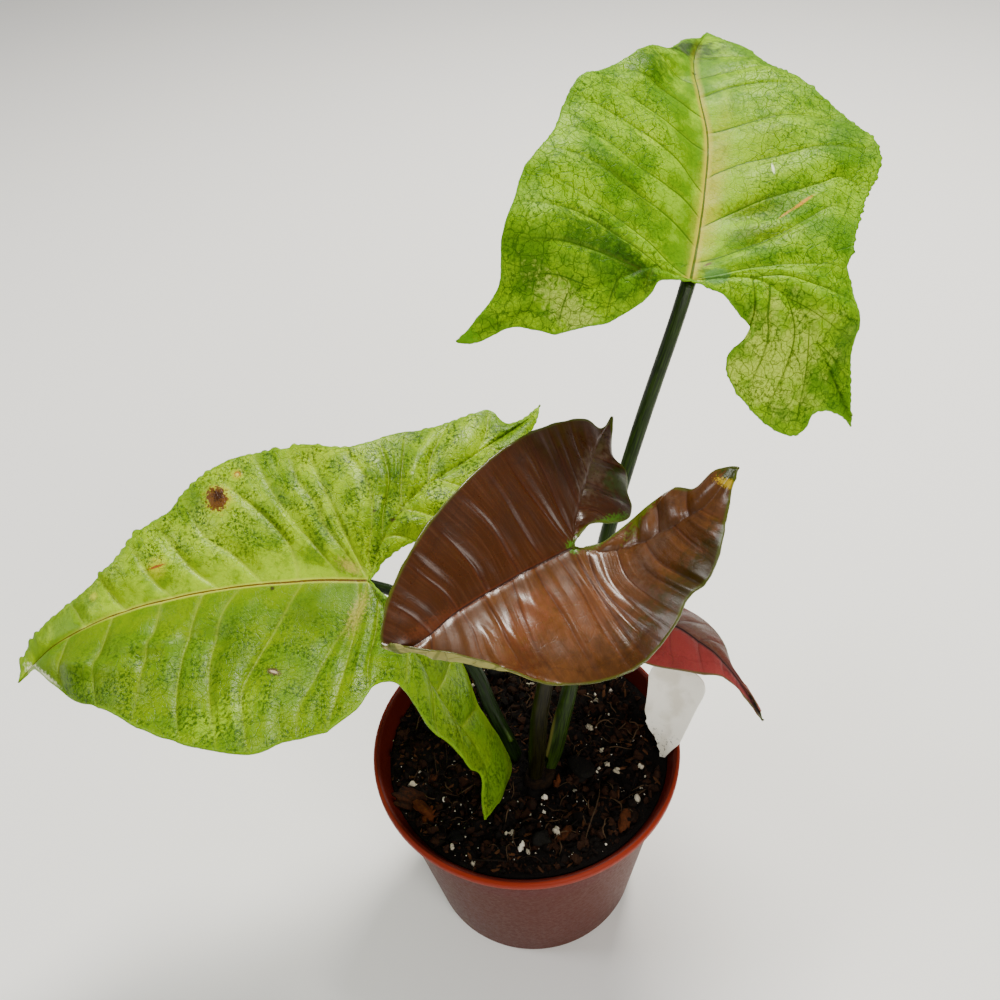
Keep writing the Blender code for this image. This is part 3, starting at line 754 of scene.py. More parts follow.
@dataclass(frozen=True)
class Blade:
    """A leaf blade: laid out flat, quilted between its veins, creased, turned and put in place."""

    name: str
    at: Point3
    turn: Point3
    size: float
    midrib: Points
    right: Half
    left: Half
    creases: tuple[Crease, ...]
    pucker: float
    wave: Point
    finish: LeafFinish
    teeth: Point = (0.0, 0.0)
    tooth_mm: float = 2.1
    folds: float = 0.15
    sway: float = 0.5
    bulges: tuple[Bulge, ...] = ()
    row_mm: float = 0.85
    columns: int = 46
    thickness: float = 0.5
    sweep: float = 3.0
    seed: int = 1

    def toothed(self, margin: Array, outward: int, depth: float) -> Array:
        """Puts small irregular teeth on a margin, shaped like |sin| and randomly tall, and a drift.

        Args:
            margin: The margin's points.
            outward: 1 where the outside lies to the left of the path, -1 where to the right.
            depth: The height of the tallest teeth in millimetres.

        Returns:
            The toothed margin.
        """
        along = np.gradient(margin, axis=0)
        along /= np.maximum(np.linalg.norm(along, axis=1), 1e-6)[:, None]
        normal = np.column_stack([-along[:, 1], along[:, 0]]) * outward
        length = lengths(margin)
        tooth = length / self.tooth_mm + 0.35 * lattice_noise(length, 0 * length, 7.0, self.seed)
        tall = np.random.default_rng(self.seed).uniform(0.1, 1.0, 400) ** 1.6
        height = depth * tall[tooth.astype(int) % 400] * np.abs(np.sin(math.pi * tooth))
        drift = 0.35 * lattice_noise(length, 0 * length + outward, 5.0, self.seed + 3)
        ends = np.clip(np.minimum(length, length[-1] - length) / 4, 0, 1)
        return margin + normal * ((height + drift) * ends)[:, None]

    def cuts(self, inner: Array, outer: Array, veins: tuple[Points, ...], first: Array | None,
             last: Array | None) -> list[Cut]:
        """Finds where the side veins of a region leave its inner path and meet its outer path.

        Args:
            inner: Fine points of the midrib or rib.
            outer: Fine points of the margin.
            veins: Side veins from inner to outer, in order along the paths.
            first: The row at the start, or None where both paths start at one point.
            last: The row at the end, or None where both paths end at one point.

        Returns:
            The region's start, the veins and its end.
        """
        found = [Cut(0, 0, first)]
        for vein in veins:
            start = int(np.argmin(np.linalg.norm(inner - vein[0], axis=1)))
            stop = int(np.argmin(np.linalg.norm(outer - vein[-1], axis=1)))
            start, stop = max(start, found[-1].start + 2), max(stop, found[-1].stop + 2)
            line = smooth_path([inner[start], *vein[1:-1], outer[stop]], 60)
            found.append(Cut(start, stop, at_fractions(line, crowded(self.columns, CROWDING))))
        return [*found, Cut(len(inner) - 1, len(outer) - 1, last)]

    def patches(self, part: Part, inner: Array, outer: Array, cuts: list[Cut],
    lane_from: int) -> list[Patch]:
        """Fills a region with one Coons patch between each two neighbouring veins, and quilts it.

        P(u, v) = (1 - u) A(v) + u B(v) + (1 - v) I(u) + v O(u) less the bilinear blend of the four
        corners, with A and B the veins and I and O the inner and outer paths between their ends.
        The relief is a pillow sin(pi u) sin(pi v), a wave that grows with v^2 towards the margin,
        grooves exp(-d^2) over the veins and noise stretched along them.

        Args:
            part: The region.
            inner: Fine points of the midrib or rib.
            outer: Fine points of the margin.
            cuts: The region's start, its veins and its end.
            lane_from: The number of the first space between two veins.

        Returns:
            The patches in order.
        """
        t = crowded(self.columns, CROWDING)
        length, made = lengths(inner), []
        for number, ends in enumerate(zip(cuts, cuts[1:])):
            row0, row1 = (np.repeat(inner[end.start:end.start + 1], len(t), axis=0) if end.row is None
                          else end.row for end in ends)
            i0, i1, j0, j1 = ends[0].start, ends[1].start, ends[0].stop, ends[1].stop
            gap = np.linalg.norm(row1 - row0, axis=1)
            u = crowded(max(6, math.ceil(gap.max() / self.row_mm)), 0.3)[:, None, None]
            v = t[None, :, None]
            within = at_fractions(inner[i0:i1 + 1], u[:, 0, 0])
            beside = at_fractions(outer[j0:j1 + 1], u[:, 0, 0])
            corners = ((1 - u) * ((1 - v) * row0[0] + v * row0[-1]) + u * ((1 - v) * row1[0] + v * row1[-1]))
            flat = (1 - u) * row0 + u * row1 + (1 - v) * within[:, None] + v * beside[:, None] - corners
            u, v = u[..., 0], v[..., 0]
            veined0 = number > 0 or part is Part.LOBE
            veined1 = number < len(cuts) - 2 or part is Part.BLADE
            side = np.minimum(u * gap if veined0 else 99.0, (1 - u) * gap if veined1 else 99.0)
            share_in = (i0 + (i1 - i0) * u) / (len(inner) - 1)
            share_out = (j0 + (j1 - j0) * u) / (len(outer) - 1)
            low, high = part.value
            s = low + (high - low) * ((1 - v) * share_in + v * share_out)
            width = np.linalg.norm(beside - within, axis=1)[:, None]
            swell = np.minimum(1.3, gap.mean() / 11) * np.minimum(1, width / 12)
            quilt = self.pucker * swell * np.sin(math.pi * u) ** 0.8 * np.sin(math.pi * v)
            amount, waves = self.wave
            ripple = amount * v ** 2 * np.sin(2 * math.pi * waves * s) * np.minimum(1, 6 * s)
            mid = v * width
            fade = np.clip(1.15 - v, 0, 1) ** 0.7 * np.clip(width / 8, 0, 1)
            groove = -0.3 * np.exp(-(mid / 1.1) ** 2) - 0.12 * np.exp(-(side / 0.6) ** 2) * fade
            lane = (lane_from + number + u) * 12.0 + 0 * v
            folds = self.folds * lattice_noise(lane, mid * 0.09, 2.2, self.seed + 7)
            folds = folds * np.sin(math.pi * v) ** 0.5
            relief = quilt + ripple * (part is not Part.SINUS) + groove + folds
            lobe = {Part.BLADE: 0 * u, Part.LOBE: np.minimum(1.0, 3 * u + number), Part.SINUS: 0 * u + 1}
            known = {"mid": mid, "side": side, "fade": fade, "lane": lane,
                     "axis": share_in if part is Part.BLADE else (1 - share_in) * 0.55,
                     "lobe": lobe[part]}
            along = length[i0] + (length[i1] - length[i0]) * u[:, 0]
            made.append(Patch(part, flat, relief, along, known))
        return made

    def half_patches(self, half: Half, side: int) -> list[Patch]:
        """All patches of one half.

        Args:
            half: The half's outlines and veins.
            side: 1 for the right half, -1 for the left.

        Returns:
            The patches, in order along the midrib and the rib.
        """
        midrib, rib = smooth_path(self.midrib, FINE), smooth_path(half.rib, FINE)
        depth = self.teeth[0 if side > 0 else 1]
        margin = self.toothed(smooth_path(half.blade, FINE), side, depth)
        outer = self.toothed(smooth_path(half.lobe, FINE), side, depth / 2)
        inner = self.toothed(smooth_path(half.sinus[::-1], FINE), -side, depth / 2)
        margin[-1] = outer[0] = half.blade[-1]
        outer[-1] = inner[-1] = rib[-1] = half.lobe[-1]
        margin[0] = midrib[0]
        t = crowded(self.columns, CROWDING)[:, None]
        shoulder = midrib[-1] * (1 - t) + margin[-1] * t
        width = np.linalg.norm(margin[-1] - midrib[-1])
        shoulder[:, 1] -= self.sweep * width / 50 * (4 * t * (1 - t))[:, 0]
        regions = ((Part.BLADE, midrib, margin, half.blade_veins, None, shoulder, 0),
                   (Part.LOBE, rib, outer, half.lobe_veins, shoulder, None, len(half.blade_veins) + 1),
                   (Part.SINUS, rib, inner, half.sinus_veins, None, None, 30))
        return [patch for part, near, far, veins, first, last, lane in regions
                for patch in self.patches(part, near, far, self.cuts(near, far, veins, first, last), lane)]

    def turned(self) -> Array:
        """The rotation from roll about the midrib, pitch of the tip and turn about the vertical."""
        yaw, pitch, roll = (math.radians(angle) for angle in self.turn)
        return np.array(Matrix.Rotation(yaw, 3, "Z") @ Matrix.Rotation(pitch, 3, "X")
                        @ Matrix.Rotation(roll, 3, "Y"))

    def bow(self, height: Array) -> Array:
        """How far the midrib lies to the right of a straight line, at heights along the blade."""
        line = smooth_path(self.midrib, 40)[::-1]
        return np.interp(height, line[:, 1], line[:, 0]) * (height > 0)

    def joined(self) -> tuple[Array, list, dict[str, Array]]:
        """Joins the patches of both halves into one surface.

        Rows on either side of the midrib or of a rib start at different places along it. So the first
        strip of each sinus and of the left blade is left out, and triangles close the space.

        Returns:
            The points with their relief as height, the faces, and what is known at each point.
        """
        points, faces, known, rows = [], [], {}, {}
        start, columns = 0, self.columns + 1
        for side, half in ((1, self.right), (-1, self.left)):
            for patch in self.half_patches(half, side):
                count = len(patch.along)
                points.append(np.column_stack([patch.flat.reshape(-1, 2), patch.relief.reshape(-1)]))
                for name, values in {**patch.known, "half": side}.items():
                    known.setdefault(name, []).append(np.broadcast_to(values, (count, columns)).reshape(-1))
                skipped = int(patch.part is Part.SINUS or (patch.part is Part.BLADE and side < 0))
                quads = grid_quads(count, columns, False, start, (side < 0) != (patch.part is Part.SINUS))
                faces += quads.reshape(count - 1, columns - 1, 4)[:, skipped:].reshape(-1, 4).tolist()
                numbers = start + columns * np.arange(count) + skipped
                rows.setdefault((patch.part, side), []).append(np.column_stack([numbers, patch.along]))
                start += count * columns
        for one, other, order in (
                ((Part.BLADE, 1), (Part.BLADE, -1), 1), ((Part.LOBE, 1), (Part.SINUS, 1), 1),
                ((Part.LOBE, -1), (Part.SINUS, -1), -1)):
            (first, first_at), (second, second_at) = np.vstack(rows[one]).T, np.vstack(rows[other]).T
            faces += zipped(first.astype(int), first_at, second.astype(int), second_at)[:, ::order].tolist()
        return np.vstack(points), faces, {name: np.concatenate(parts) for name, parts in known.items()}

    def build(self) -> bpy.types.Object:
        """Makes the blade's mesh with its thickness and dresses both faces.

        Returns:
            The finished piece.
        """
        shape, faces, known = self.joined()
        flat = shape[:, :2].copy()
        rim = np.vstack([smooth_path(path, 500) for half in (self.right, self.left)
                         for path in (half.blade, half.lobe, half.sinus)])
        edge = np.concatenate([np.linalg.norm(part[:, None] - rim[None], axis=2).min(axis=1)
                               for part in np.array_split(flat.astype(np.float32), 60)])
        for bulge in self.bulges:
            shape[:, 2] += bulge.lift(flat)
        broad = (0.22 * lattice_noise(*flat.T, 6.5, self.seed)
                 + self.sway * lattice_noise(*flat.T, 17.0, self.seed + 1))
        shape[:, 2] += broad * np.clip(edge / 6, 0, 1) * np.clip(np.hypot(*flat.T) / 12, 0, 1)
        bow = self.bow(flat[:, 1])
        for crease in self.creases:
            straight = crease.heading in (0, 180)
            shape[:, 0] -= bow * straight
            shape = crease.rolled(shape, known["half"])
            shape[:, 0] += bow * straight
        placed = shape * self.size @ self.turned().T + np.array(self.at)
        known.update(edge=edge, flat=np.column_stack([flat, 0 * edge]))
        piece = new_piece(f"{self.name}_leaf", placed, faces,
                          [self.finish.upper(), self.finish.lower()], known, merge_mm=0.012)
        skin = piece.modifiers.new("thickness", "SOLIDIFY")
        skin.thickness = self.thickness * MM
        skin.offset = -1.0
        skin.use_even_offset = False
        skin.use_quality_normals = True
        skin.material_offset = 1
        return place(piece, RECORD_SLOTS[self.name], self.name)


@dataclass(frozen=True)
class StalkFinish:
    """A living leaf stalk: a waxy green skin with fine lengthwise ribs and a paler sheath."""

    name: str
    colour: str
    deep: str
    sheath: str
    rib_mm: float = 0.35

    def build(self) -> bpy.types.Material:
        """Builds the material.

        Returns:
            The material.
        """
        look = Look(f"{self.name}_living_stalk_skin")
        along = look.known("skin", "Vector")
        stretched = look.add("ShaderNodeMapping", {"vector_type": "POINT"},
                             {"Vector": along, "Scale": (1 / self.rib_mm, 1 / 9.0, 1.0)})
        streaks = look.noise(stretched.outputs[0], 1.0, 4.0)
        clouds = look.noise(along, 5.0, 4.0)
        colour = look.mix(look.ramp(streaks, 0.35, 0.65), self.deep, self.colour)
        colour = look.mix(look.ramp(clouds, 0.5, 0.75, 0.0, 0.5), colour, self.deep)
        colour = look.mix(look.ramp(look.known("fin"), 0.35, 0.9), colour, self.sheath)
        look.feed({"Base Color": colour, "Roughness": 0.36, "IOR": WAX_IOR, "Specular IOR Level": 0.25})
        look.bump(streaks, 0.1)
        return look.material


@dataclass(frozen=True)
class Stalk:
    """A leaf stalk from its foot in the soil or stem to just under its blade.

    wing is the height up to which the sheath reaches, its width and its direction in degrees, and
    wing_from the height at which it starts.
    """

    name: str
    points: tuple[Point3, ...]
    radii: tuple[float, ...]
    blade: Blade
    finish: StalkFinish
    wing: Point3 | None = None
    wing_from: float = 76.5
    sides: int = 36
    rings: int = 110

    def build(self) -> bpy.types.Object:
        """Makes the stalk as a tube of nearly round rings.

        The radius at angle a is r (1 + 0.03 cos 2a + 0.02 sin 5a), plus w exp(-(a - d)^2 / 2 s^2)
        for the sheath, whose width w fades out towards its top. The last rings are slanted to lie
        flat under the blade.

        Returns:
            The finished piece.
        """
        turned = self.blade.turned()
        normal = turned @ np.array([0.0, 0.0, 1.0])
        seat = np.array(self.blade.at) + turned @ np.array([0.0, 1.6, 0.0]) - normal * (0.7 + GAP + 0.15)
        given = np.vstack([self.points, seat])
        centres, knots = smooth_path(given, self.rings), lengths(given)
        share = np.linspace(0, 1, self.rings + 1)
        radii = np.interp(share, knots / knots[-1], [*self.radii, self.radii[-1]])
        tangent = np.gradient(centres, axis=0)
        tangent /= np.linalg.norm(tangent, axis=1)[:, None]
        first = np.array([1.0, 0.0, 0.0]) - tangent * tangent[:, :1]
        first /= np.linalg.norm(first, axis=1)[:, None]
        second = np.cross(tangent, first)
        angle = around(self.sides)
        radius = radii[:, None] * (1 + 0.03 * np.cos(2 * angle) + 0.02 * np.sin(5 * angle))
        fin = np.zeros_like(radius)
        if self.wing:
            top, width, direction = self.wing
            fade = np.clip((top - centres[:, 2]) / 12, 0, 1) * (centres[:, 2] > self.wing_from)
            away = (np.degrees(angle) - direction + 180) % 360 - 180
            fin = fade[:, None] * np.exp(-away ** 2 / (2 * 13.0 ** 2))
            radius = radius + width * fin
        ring = ((radius * np.cos(angle))[..., None] * first[:, None]
                + (radius * np.sin(angle))[..., None] * second[:, None])
        plane = tangent.copy()
        plane[-1] = normal
        slide = np.einsum("rsk,rk->rs", ring, plane) / np.einsum("rk,rk->r", tangent, plane)[:, None]
        placed = centres[:, None] + ring - slide[..., None] * tangent[:, None]
        skin = np.stack(np.broadcast_arrays(angle * 2.2, (share * knots[-1])[:, None], 0.0), -1)
        piece = new_piece(f"{self.name}_stalk", placed.reshape(-1, 3), tube_faces(self.rings + 1,
        self.sides),
                          [self.finish.build()], {"fin": fin.reshape(-1), "skin": skin.reshape(-1, 3)})
        return place(piece, RECORD_SLOTS[self.name], self.name)


@dataclass(frozen=True)
class PotFinish:
    """Injection-moulded polypropylene in terracotta colour: a low sheen with faint flow marks."""

    wall: str = "#461604"
    # Painted light: the lip is brighter than the wall for the light on the pot's top
    lip: str = "#7c2410"
    # Painted shade: the upper inside and the lip's inner half
    inside: str = "#48120a"
    scuff: str = "#4a2414"

    def build(self, height: float, inner: float) -> bpy.types.Material:
        """Builds the material: the lip is painted brighter as light on the pot's top, the upper inside
        darker as shade.

        Args:
            height: The pot's height in millimetres.
            inner: The inside radius of the lip in millimetres.

        Returns:
            The material.
        """
        look = Look("terracotta_polypropylene_moulded")
        where = look.add("ShaderNodeTexCoord").outputs["Object"]
        split = look.add("ShaderNodeSeparateXYZ", None, {0: where}).outputs
        # Painted light: the top few millimetres take the lip's brighter colour
        lip = look.ramp(split["Z"], (height - 5.0) * MM, (height - 3.0) * MM)
        colour = look.mix(lip, self.wall, self.lip)
        flow = look.noise(where, 30 * MM, 2.0, solid=True)
        colour = look.mix(look.ramp(flow, 0.45, 0.8, 0.0, 0.3), colour, self.wall)
        level = look.add("ShaderNodeCombineXYZ", None, {"X": split["X"], "Y": split["Y"]})
        reach = look.length(level.outputs["Vector"])
        # Painted shade: the upper inside and the lip's inner half take a darker colour
        within = look.ramp(reach, (inner - 0.1) * MM, (inner + 0.5) * MM, 1.0, 0.0)
        high = look.ramp(split["Z"], 0.7 * height * MM, 0.8 * height * MM)
        colour = look.mix(look.times(within, high), colour, self.inside)
        scratch = look.noise(where, 1.5 * MM, 6.0, 0.8, solid=True)
        colour = look.mix(look.ramp(scratch, 0.66, 0.76, 0.0, 0.35), colour, self.scuff)
        look.feed({"Base Color": colour, "Roughness": look.ramp(scratch, 0.3, 0.7, 0.34, 0.5), "IOR": 1.49,
                   "Specular IOR Level": 0.1})
        look.bump(look.noise(where, 0.6 * MM, 3.0, solid=True), 0.03)
        return look.material


@dataclass(frozen=True)
class NurseryPot:
    """The thin-walled nursery pot, in millimetres."""

    rim: float = 52.5
    lip_width: float = 2.5
    lip_height: float = 2.8
    ease: float = 1.2
    height: float = 78.0
    neck_drop: float = 6.0
    neck: float = 48.7
    base: float = 38.3
    base_round: float = 2.8
    wall: float = 1.4
    floor: float = 1.6
    fillet: float = 1.6
    sides: int = 176
    drains: int = 6
    drain_ring: float = 26.0
    drain_radius: float = 3.6
    floor_rings: tuple[float, ...] = (0.0, 8.0, 21.0, 31.5)

    def profile(self) -> Array:
        """The section from the axis under the floor, up the outside, over the lip and back inside.

        The foot and the inner fillet are quarter circles and the lip a half ellipse, of a few steps.

        Returns:
            Radius and height of each point.
        """
        neck, under = self.height - self.neck_drop, self.height - self.lip_height
        foot = [(self.base - self.base_round * (1 - math.sin(a)), self.base_round * (1 - math.cos(a)))
                for a in np.linspace(0, math.pi / 2, 7)]
        half = self.lip_width / 2
        crown = [(self.rim - half + half * math.cos(a), self.height - self.ease + self.ease * math.sin(a))
                 for a in np.linspace(0, math.pi, 11)]
        fillet = [(self.base - self.wall - self.fillet * (1 - math.cos(a)),
                   self.floor + self.fillet * (1 - math.sin(a))) for a in np.linspace(0, math.pi / 2, 6)]
        wall_out = [(self.base + (self.neck - self.base) * f,
        self.base_round + (neck - self.base_round) * f)
                    for f in np.linspace(0.04, 1.0, 14)]
        wall_in = [(self.neck - self.wall - (self.neck - self.base) * f,
                    neck - (neck - self.floor - self.fillet) * f) for f in np.linspace(0.0, 0.96, 12)]
        shelf = [(self.neck + self.ease, under - self.ease), (self.rim - self.ease, under - self.ease / 2),
                 (self.rim - 0.3, under - 0.15), (self.rim, under + 0.3)]
        below = [(radius, 0.0) for radius in self.floor_rings]
        above = [(radius, self.floor) for radius in self.floor_rings[::-1]]
        return np.array(below + foot + wall_out + shelf + crown + wall_in + fillet + above)

    def build(self) -> bpy.types.Object:
        """Turns the section about the axis and cuts the drain holes.

        Returns:
            The finished piece.
        """
        profile = self.profile()
        angle = around(self.sides)
        points = np.stack([profile[:, :1] * np.cos(angle), profile[:, :1] * np.sin(angle),
                           np.broadcast_to(profile[:, 1:], (len(profile), self.sides))], -1)
        faces = grid_quads(len(profile), self.sides, closed=True, flipped=True)
        pot = new_piece("nursery_pot", points.reshape(-1, 3), faces.tolist(),
                        [PotFinish().build(self.height, self.rim - self.lip_width / 2)], merge_mm=MERGE)
        for number in range(self.drains):
            turn = 2 * math.pi * (number + 0.5) / self.drains
            bpy.ops.mesh.primitive_cylinder_add(
                vertices=40, radius=self.drain_radius * MM, depth=4 * self.floor * MM,
                location=(self.drain_ring * MM * math.cos(turn), self.drain_ring * MM * math.sin(turn),
                          self.floor / 2 * MM))
            drill = bpy.context.object
            hole = pot.modifiers.new(f"drain_{number}", "BOOLEAN")
            hole.operation = "DIFFERENCE"
            hole.solver = "EXACT"
            hole.object = drill
            bpy.context.view_layer.objects.active = pot
            with bpy.context.temp_override(object=pot, active_object=pot):
                bpy.ops.object.modifier_apply(modifier=hole.name)
            bpy.data.objects.remove(drill)
        return place(pot, RECORD_SLOTS["pot"], "pot")

    def inner_radius(self, height: Array) -> Array:
        """The inside radius at a height."""
        neck = self.height - self.neck_drop
        return np.interp(height, (self.floor + self.fillet, neck, self.height - self.ease),
                         (self.base - self.wall, self.neck - self.wall, self.rim - self.lip_width))


class Tone(Enum):
    """Colours of the grains in the soil, light and dark of each."""

    PEAT = ("#1c0e07", "#060302")
    CRUMB = ("#2b170b", "#080402")
    BARK = ("#54290e", "#140903")
    FLAKE = ("#4a2d18", "#0e0603")
    PERLITE = ("#e2dccd", "#a29a88")
    STONE = ("#171511", "#080706")
    FIBRE = ("#4a3826", "#120a05")


@dataclass(frozen=True)
class SoilFinish:
    """Damp peat with bark, perlite and fibres: matt, near black, coarse."""

    name: str
    tone: Tone
    grain_mm: float
    roughness: float
    depth_mm: float

    def build(self) -> bpy.types.Material:
        """Builds the material; each grain keeps a shade of its own in the attribute "shade".

        Returns:
            The material.
        """
        look = Look(self.name)
        where = look.add("ShaderNodeTexCoord").outputs["Object"]
        noise = look.noise(where, self.grain_mm * MM, 7.0, 0.7, solid=True)
        mixed = look.math("ADD", look.times(noise, 0.7), look.times(look.known("shade"), 0.5))
        light, dark = self.tone.value
        look.feed({"Base Color": look.mix(look.ramp(mixed, 0.35, 0.85), dark, light),
                   "Roughness": self.roughness, "Specular IOR Level": DAMP_SHINE})
        look.bump(noise, self.depth_mm)
        return look.material


@dataclass(frozen=True)
class PottingSoil:
    """The soil that fills the pot, with crumbs, bark, perlite and rootlets on its top.

    clear lists the places that scattered grains keep away from, each with its radius: the stem,
    two stalks and the label's foot. A piece with fewer grains than few gets finer, smooth ones.
    """

    pot: NurseryPot
    middle: float = 70.5
    rim: float = 73.0
    slope: Point = (0.017, -0.043)
    wall: float = 47.3
    rings: int = 120
    sides: int = 240
    crumbs: int = 3400
    flakes: int = 800
    threads: int = 220
    perlite: int = 260
    few: int = 60
    clear: tuple[Point3, ...] = ((3.9, -10.6, 8.5), (-4.3, 0.5, 4.5), (10.4, -0.2, 3.5), (46.0, -9.0, 5.0))

    def height(self, x: Array, y: Array) -> Array:
        """The soil's surface: a dished plane that rises to the wall, with three long ripples.

        Args:
            x: First coordinates in millimetres.
            y: Second coordinates in millimetres.

        Returns:
            The heights in millimetres.
        """
        lumps = (0.7 * np.sin(0.31 * x + 1.0) * np.sin(0.27 * y + 2.0) + 0.45 * np.sin(0.62 * x - 0.5 * y)
                 + 0.35 * np.sin(0.9 * y + 0.4 * x + 1.7))
        share = np.clip(np.hypot(x, y) / (self.pot.neck - self.pot.wall), 0, 1)
        rim = self.rim + self.slope[0] * x + self.slope[1] * y
        return self.middle + (rim - self.middle) * share ** 2 + lumps * (1 - share ** 6)

    def surface(self, x: Array, y: Array) -> Array:
        """The rough surface: the height plus lattice noise of 4.5, 2.2 and 0.9 mm, calmer at the wall.

        Args:
            x: First coordinates in millimetres.
            y: Second coordinates in millimetres.

        Returns:
            The heights in millimetres.
        """
        rough = (0.9 * lattice_noise(x, y, 4.5, 1) + 0.6 * lattice_noise(x, y, 2.2, 2)
                 + 0.4 * lattice_noise(x, y, 0.9, 3))
        return self.height(x, y) + rough * np.clip((self.wall - np.hypot(x, y)) / 2, 0.2, 1)

    def top(self) -> bpy.types.Object:
        """Makes the body of soil: a rough top on a polar grid, a wall and a floor.

        Returns:
            The finished piece.
        """
        angle = around(self.sides)
        edge = self.pot.inner_radius(self.height(self.wall * np.cos(angle),
        self.wall * np.sin(angle))) - GAP
        radius = edge * np.linspace(1.0, 0.0, self.rings)[:, None]
        x, y = radius * np.cos(angle), radius * np.sin(angle)
        z = self.surface(x, y)
        floor = self.pot.floor + GAP
        low = self.pot.base - self.pot.wall - GAP
        levels = [(0.0, floor), (low - self.pot.fillet, floor), (low, floor + self.pot.fillet)]
        levels += [(self.pot.inner_radius(np.array(h)) - GAP, h) for h in (20.0, 45.0, 66.0)]
        body = [np.column_stack([r * np.cos(angle), r * np.sin(angle), np.full(self.sides, h)])
                for r, h in levels]
        points = np.concatenate([np.array(body), np.stack([x, y, z], -1)])
        faces = grid_quads(len(points), self.sides, closed=True, flipped=True)
        piece = new_piece("soil_body", points.reshape(-1, 3), faces.tolist(),
                          [SoilFinish("damp_peat", Tone.PEAT, 1.6, 0.8, 0.6).build()],
                          {"shade": np.zeros(len(points) * self.sides)}, merge_mm=MERGE)
        return place(piece, RECORD_SLOTS["soil"], "soil")

    def lumps(self, name: str, spots: Array, sizes: Array, stretch: Array, finish: SoilFinish, seed: int,
              lift: float) -> bpy.types.Object:
        """Makes many small irregular grains as one piece, each a dented icosphere.

        A grain's radius in direction d is size (1 + 0.34 sin(2.1 d.a + p) + 0.26 sin(4.3 d.b + q)
        + 0.12 sin(8 d.a + q)) with random a, b, p and q.

        Args:
            name: The piece's name.
            spots: Places on the soil, one per row.
            sizes: A radius for each grain.
            stretch: Three factors for each grain.
            finish: The grains' material.
            seed: Seeds the random draws.
            lift: How far a grain's middle stands above the soil, in radii.

        Returns:
            The finished piece.
        """
        draw = np.random.default_rng(seed)
        few = len(spots) < self.few
        shell = bmesh.new()
        bmesh.ops.create_icosphere(shell, subdivisions=3 if few else 1, radius=1.0)
        ball = np.array([v.co for v in shell.verts])
        rim = np.array([[v.index for v in f.verts] for f in shell.faces])
        shell.free()
        n, m = len(spots), len(ball)
        axes, phases = draw.normal(0, 1, (2, n, 3)), draw.uniform(0, 6.3, (2, n, 1))
        swell = (1 + 0.34 * np.sin(2.1 * np.einsum("mk,nk->nm", ball, axes[0]) + phases[0])
                 + 0.26 * np.sin(4.3 * np.einsum("mk,nk->nm", ball, axes[1]) + phases[1])
                 + 0.12 * np.sin(8.0 * np.einsum("mk,nk->nm", ball, axes[0]) + phases[1]))
        body = ball[None] * swell[..., None] * (sizes[:, None] * stretch)[:, None]
        turn, tilt = draw.uniform(0, 2 * math.pi, (n, 1)), draw.normal(0, 0.35, (n, 1))
        x, y, z = np.moveaxis(body, -1, 0)
        x, z = x * np.cos(tilt) + z * np.sin(tilt), z * np.cos(tilt) - x * np.sin(tilt)
        x, y = x * np.cos(turn) - y * np.sin(turn), x * np.sin(turn) + y * np.cos(turn)
        seat = np.column_stack([spots, self.surface(*spots.T) + lift * sizes * stretch[:, 2]])
        placed = np.stack([x, y, z], -1) + seat[:, None]
        faces = (rim[None] + (np.arange(n) * m)[:, None, None]).reshape(-1, 3)
        shade = np.repeat(draw.uniform(-0.3, 1.0, n), m)
        piece = new_piece(name, placed.reshape(-1, 3), faces.tolist(), [finish.build()], {"shade": shade},
                          smooth=few)
        return place(piece, RECORD_SLOTS["soil"])

    def scattered(self, count: int, seed: int, outer: float = 47.1) -> Array:
        """Random places on the soil, evenly by area and clear of the stem and the stalks.

        Args:
            count: The number of places.
            seed: Seeds the draw.
            outer: The largest distance from the axis in millimetres.

        Returns:
            One place per row.
        """
        draw = np.random.default_rng(seed)
        radius, angle = outer * np.sqrt(draw.random(3 * count)), 2 * math.pi * draw.random(3 * count)
        spots = np.column_stack([radius * np.cos(angle), radius * np.sin(angle)])
        away = [np.hypot(*(spots - (x, y)).T) > reach for x, y, reach in self.clear]
        return spots[np.all(away, axis=0)][:count]

    def fibres(self, routes: list) -> bpy.types.Object:
        """Makes rootlets and peat fibres: thin tubes that lie on the soil along given routes.

        Args:
            routes: The places that each fibre passes over.

        Returns:
            The finished piece.
        """
        steps, sides = 18, 5
        angle = around(sides)[None, :, None]
        arch = np.sin(np.linspace(0, math.pi, steps + 1))
        points, faces = [], []
        for number, route in enumerate(routes):
            line = smooth_path(route, steps)
            rise = 0.5 + (0.4 + 0.35 * (number % 4)) * arch
            level = self.height(*line.T) + rise + 0.4 * lattice_noise(*line.T, 4.5, 1)
            centre = np.column_stack([line, level])
            thick = (0.11 + 0.05 * (number % 4)) * (0.35 + 0.65 * arch)
            tangent = np.gradient(centre, axis=0)
            across = np.cross(tangent, (0.0, 0.0, 1.0))
            across /= np.linalg.norm(across, axis=1)[:, None]
            upward = np.cross(across, tangent / np.linalg.norm(tangent, axis=1)[:, None])
            ring = centre[:, None] + thick[:, None, None] * (np.cos(angle) * across[:, None]
                                                             + np.sin(angle) * upward[:, None])
            faces += tube_faces(steps + 1, sides, number * (steps + 1) * sides, flipped=False)
            points.append(ring.reshape(-1, 3))
        shade = np.repeat(np.random.default_rng(3).uniform(-0.2, 1.2, len(routes)), (steps + 1) * sides)
        finish = SoilFinish("dry_root_fibre", Tone.FIBRE, 1.0, 0.75, 0.1).build()
        piece = new_piece("rootlets", np.vstack(points), faces, [finish], {"shade": shade})
        return place(piece, RECORD_SLOTS["soil"])

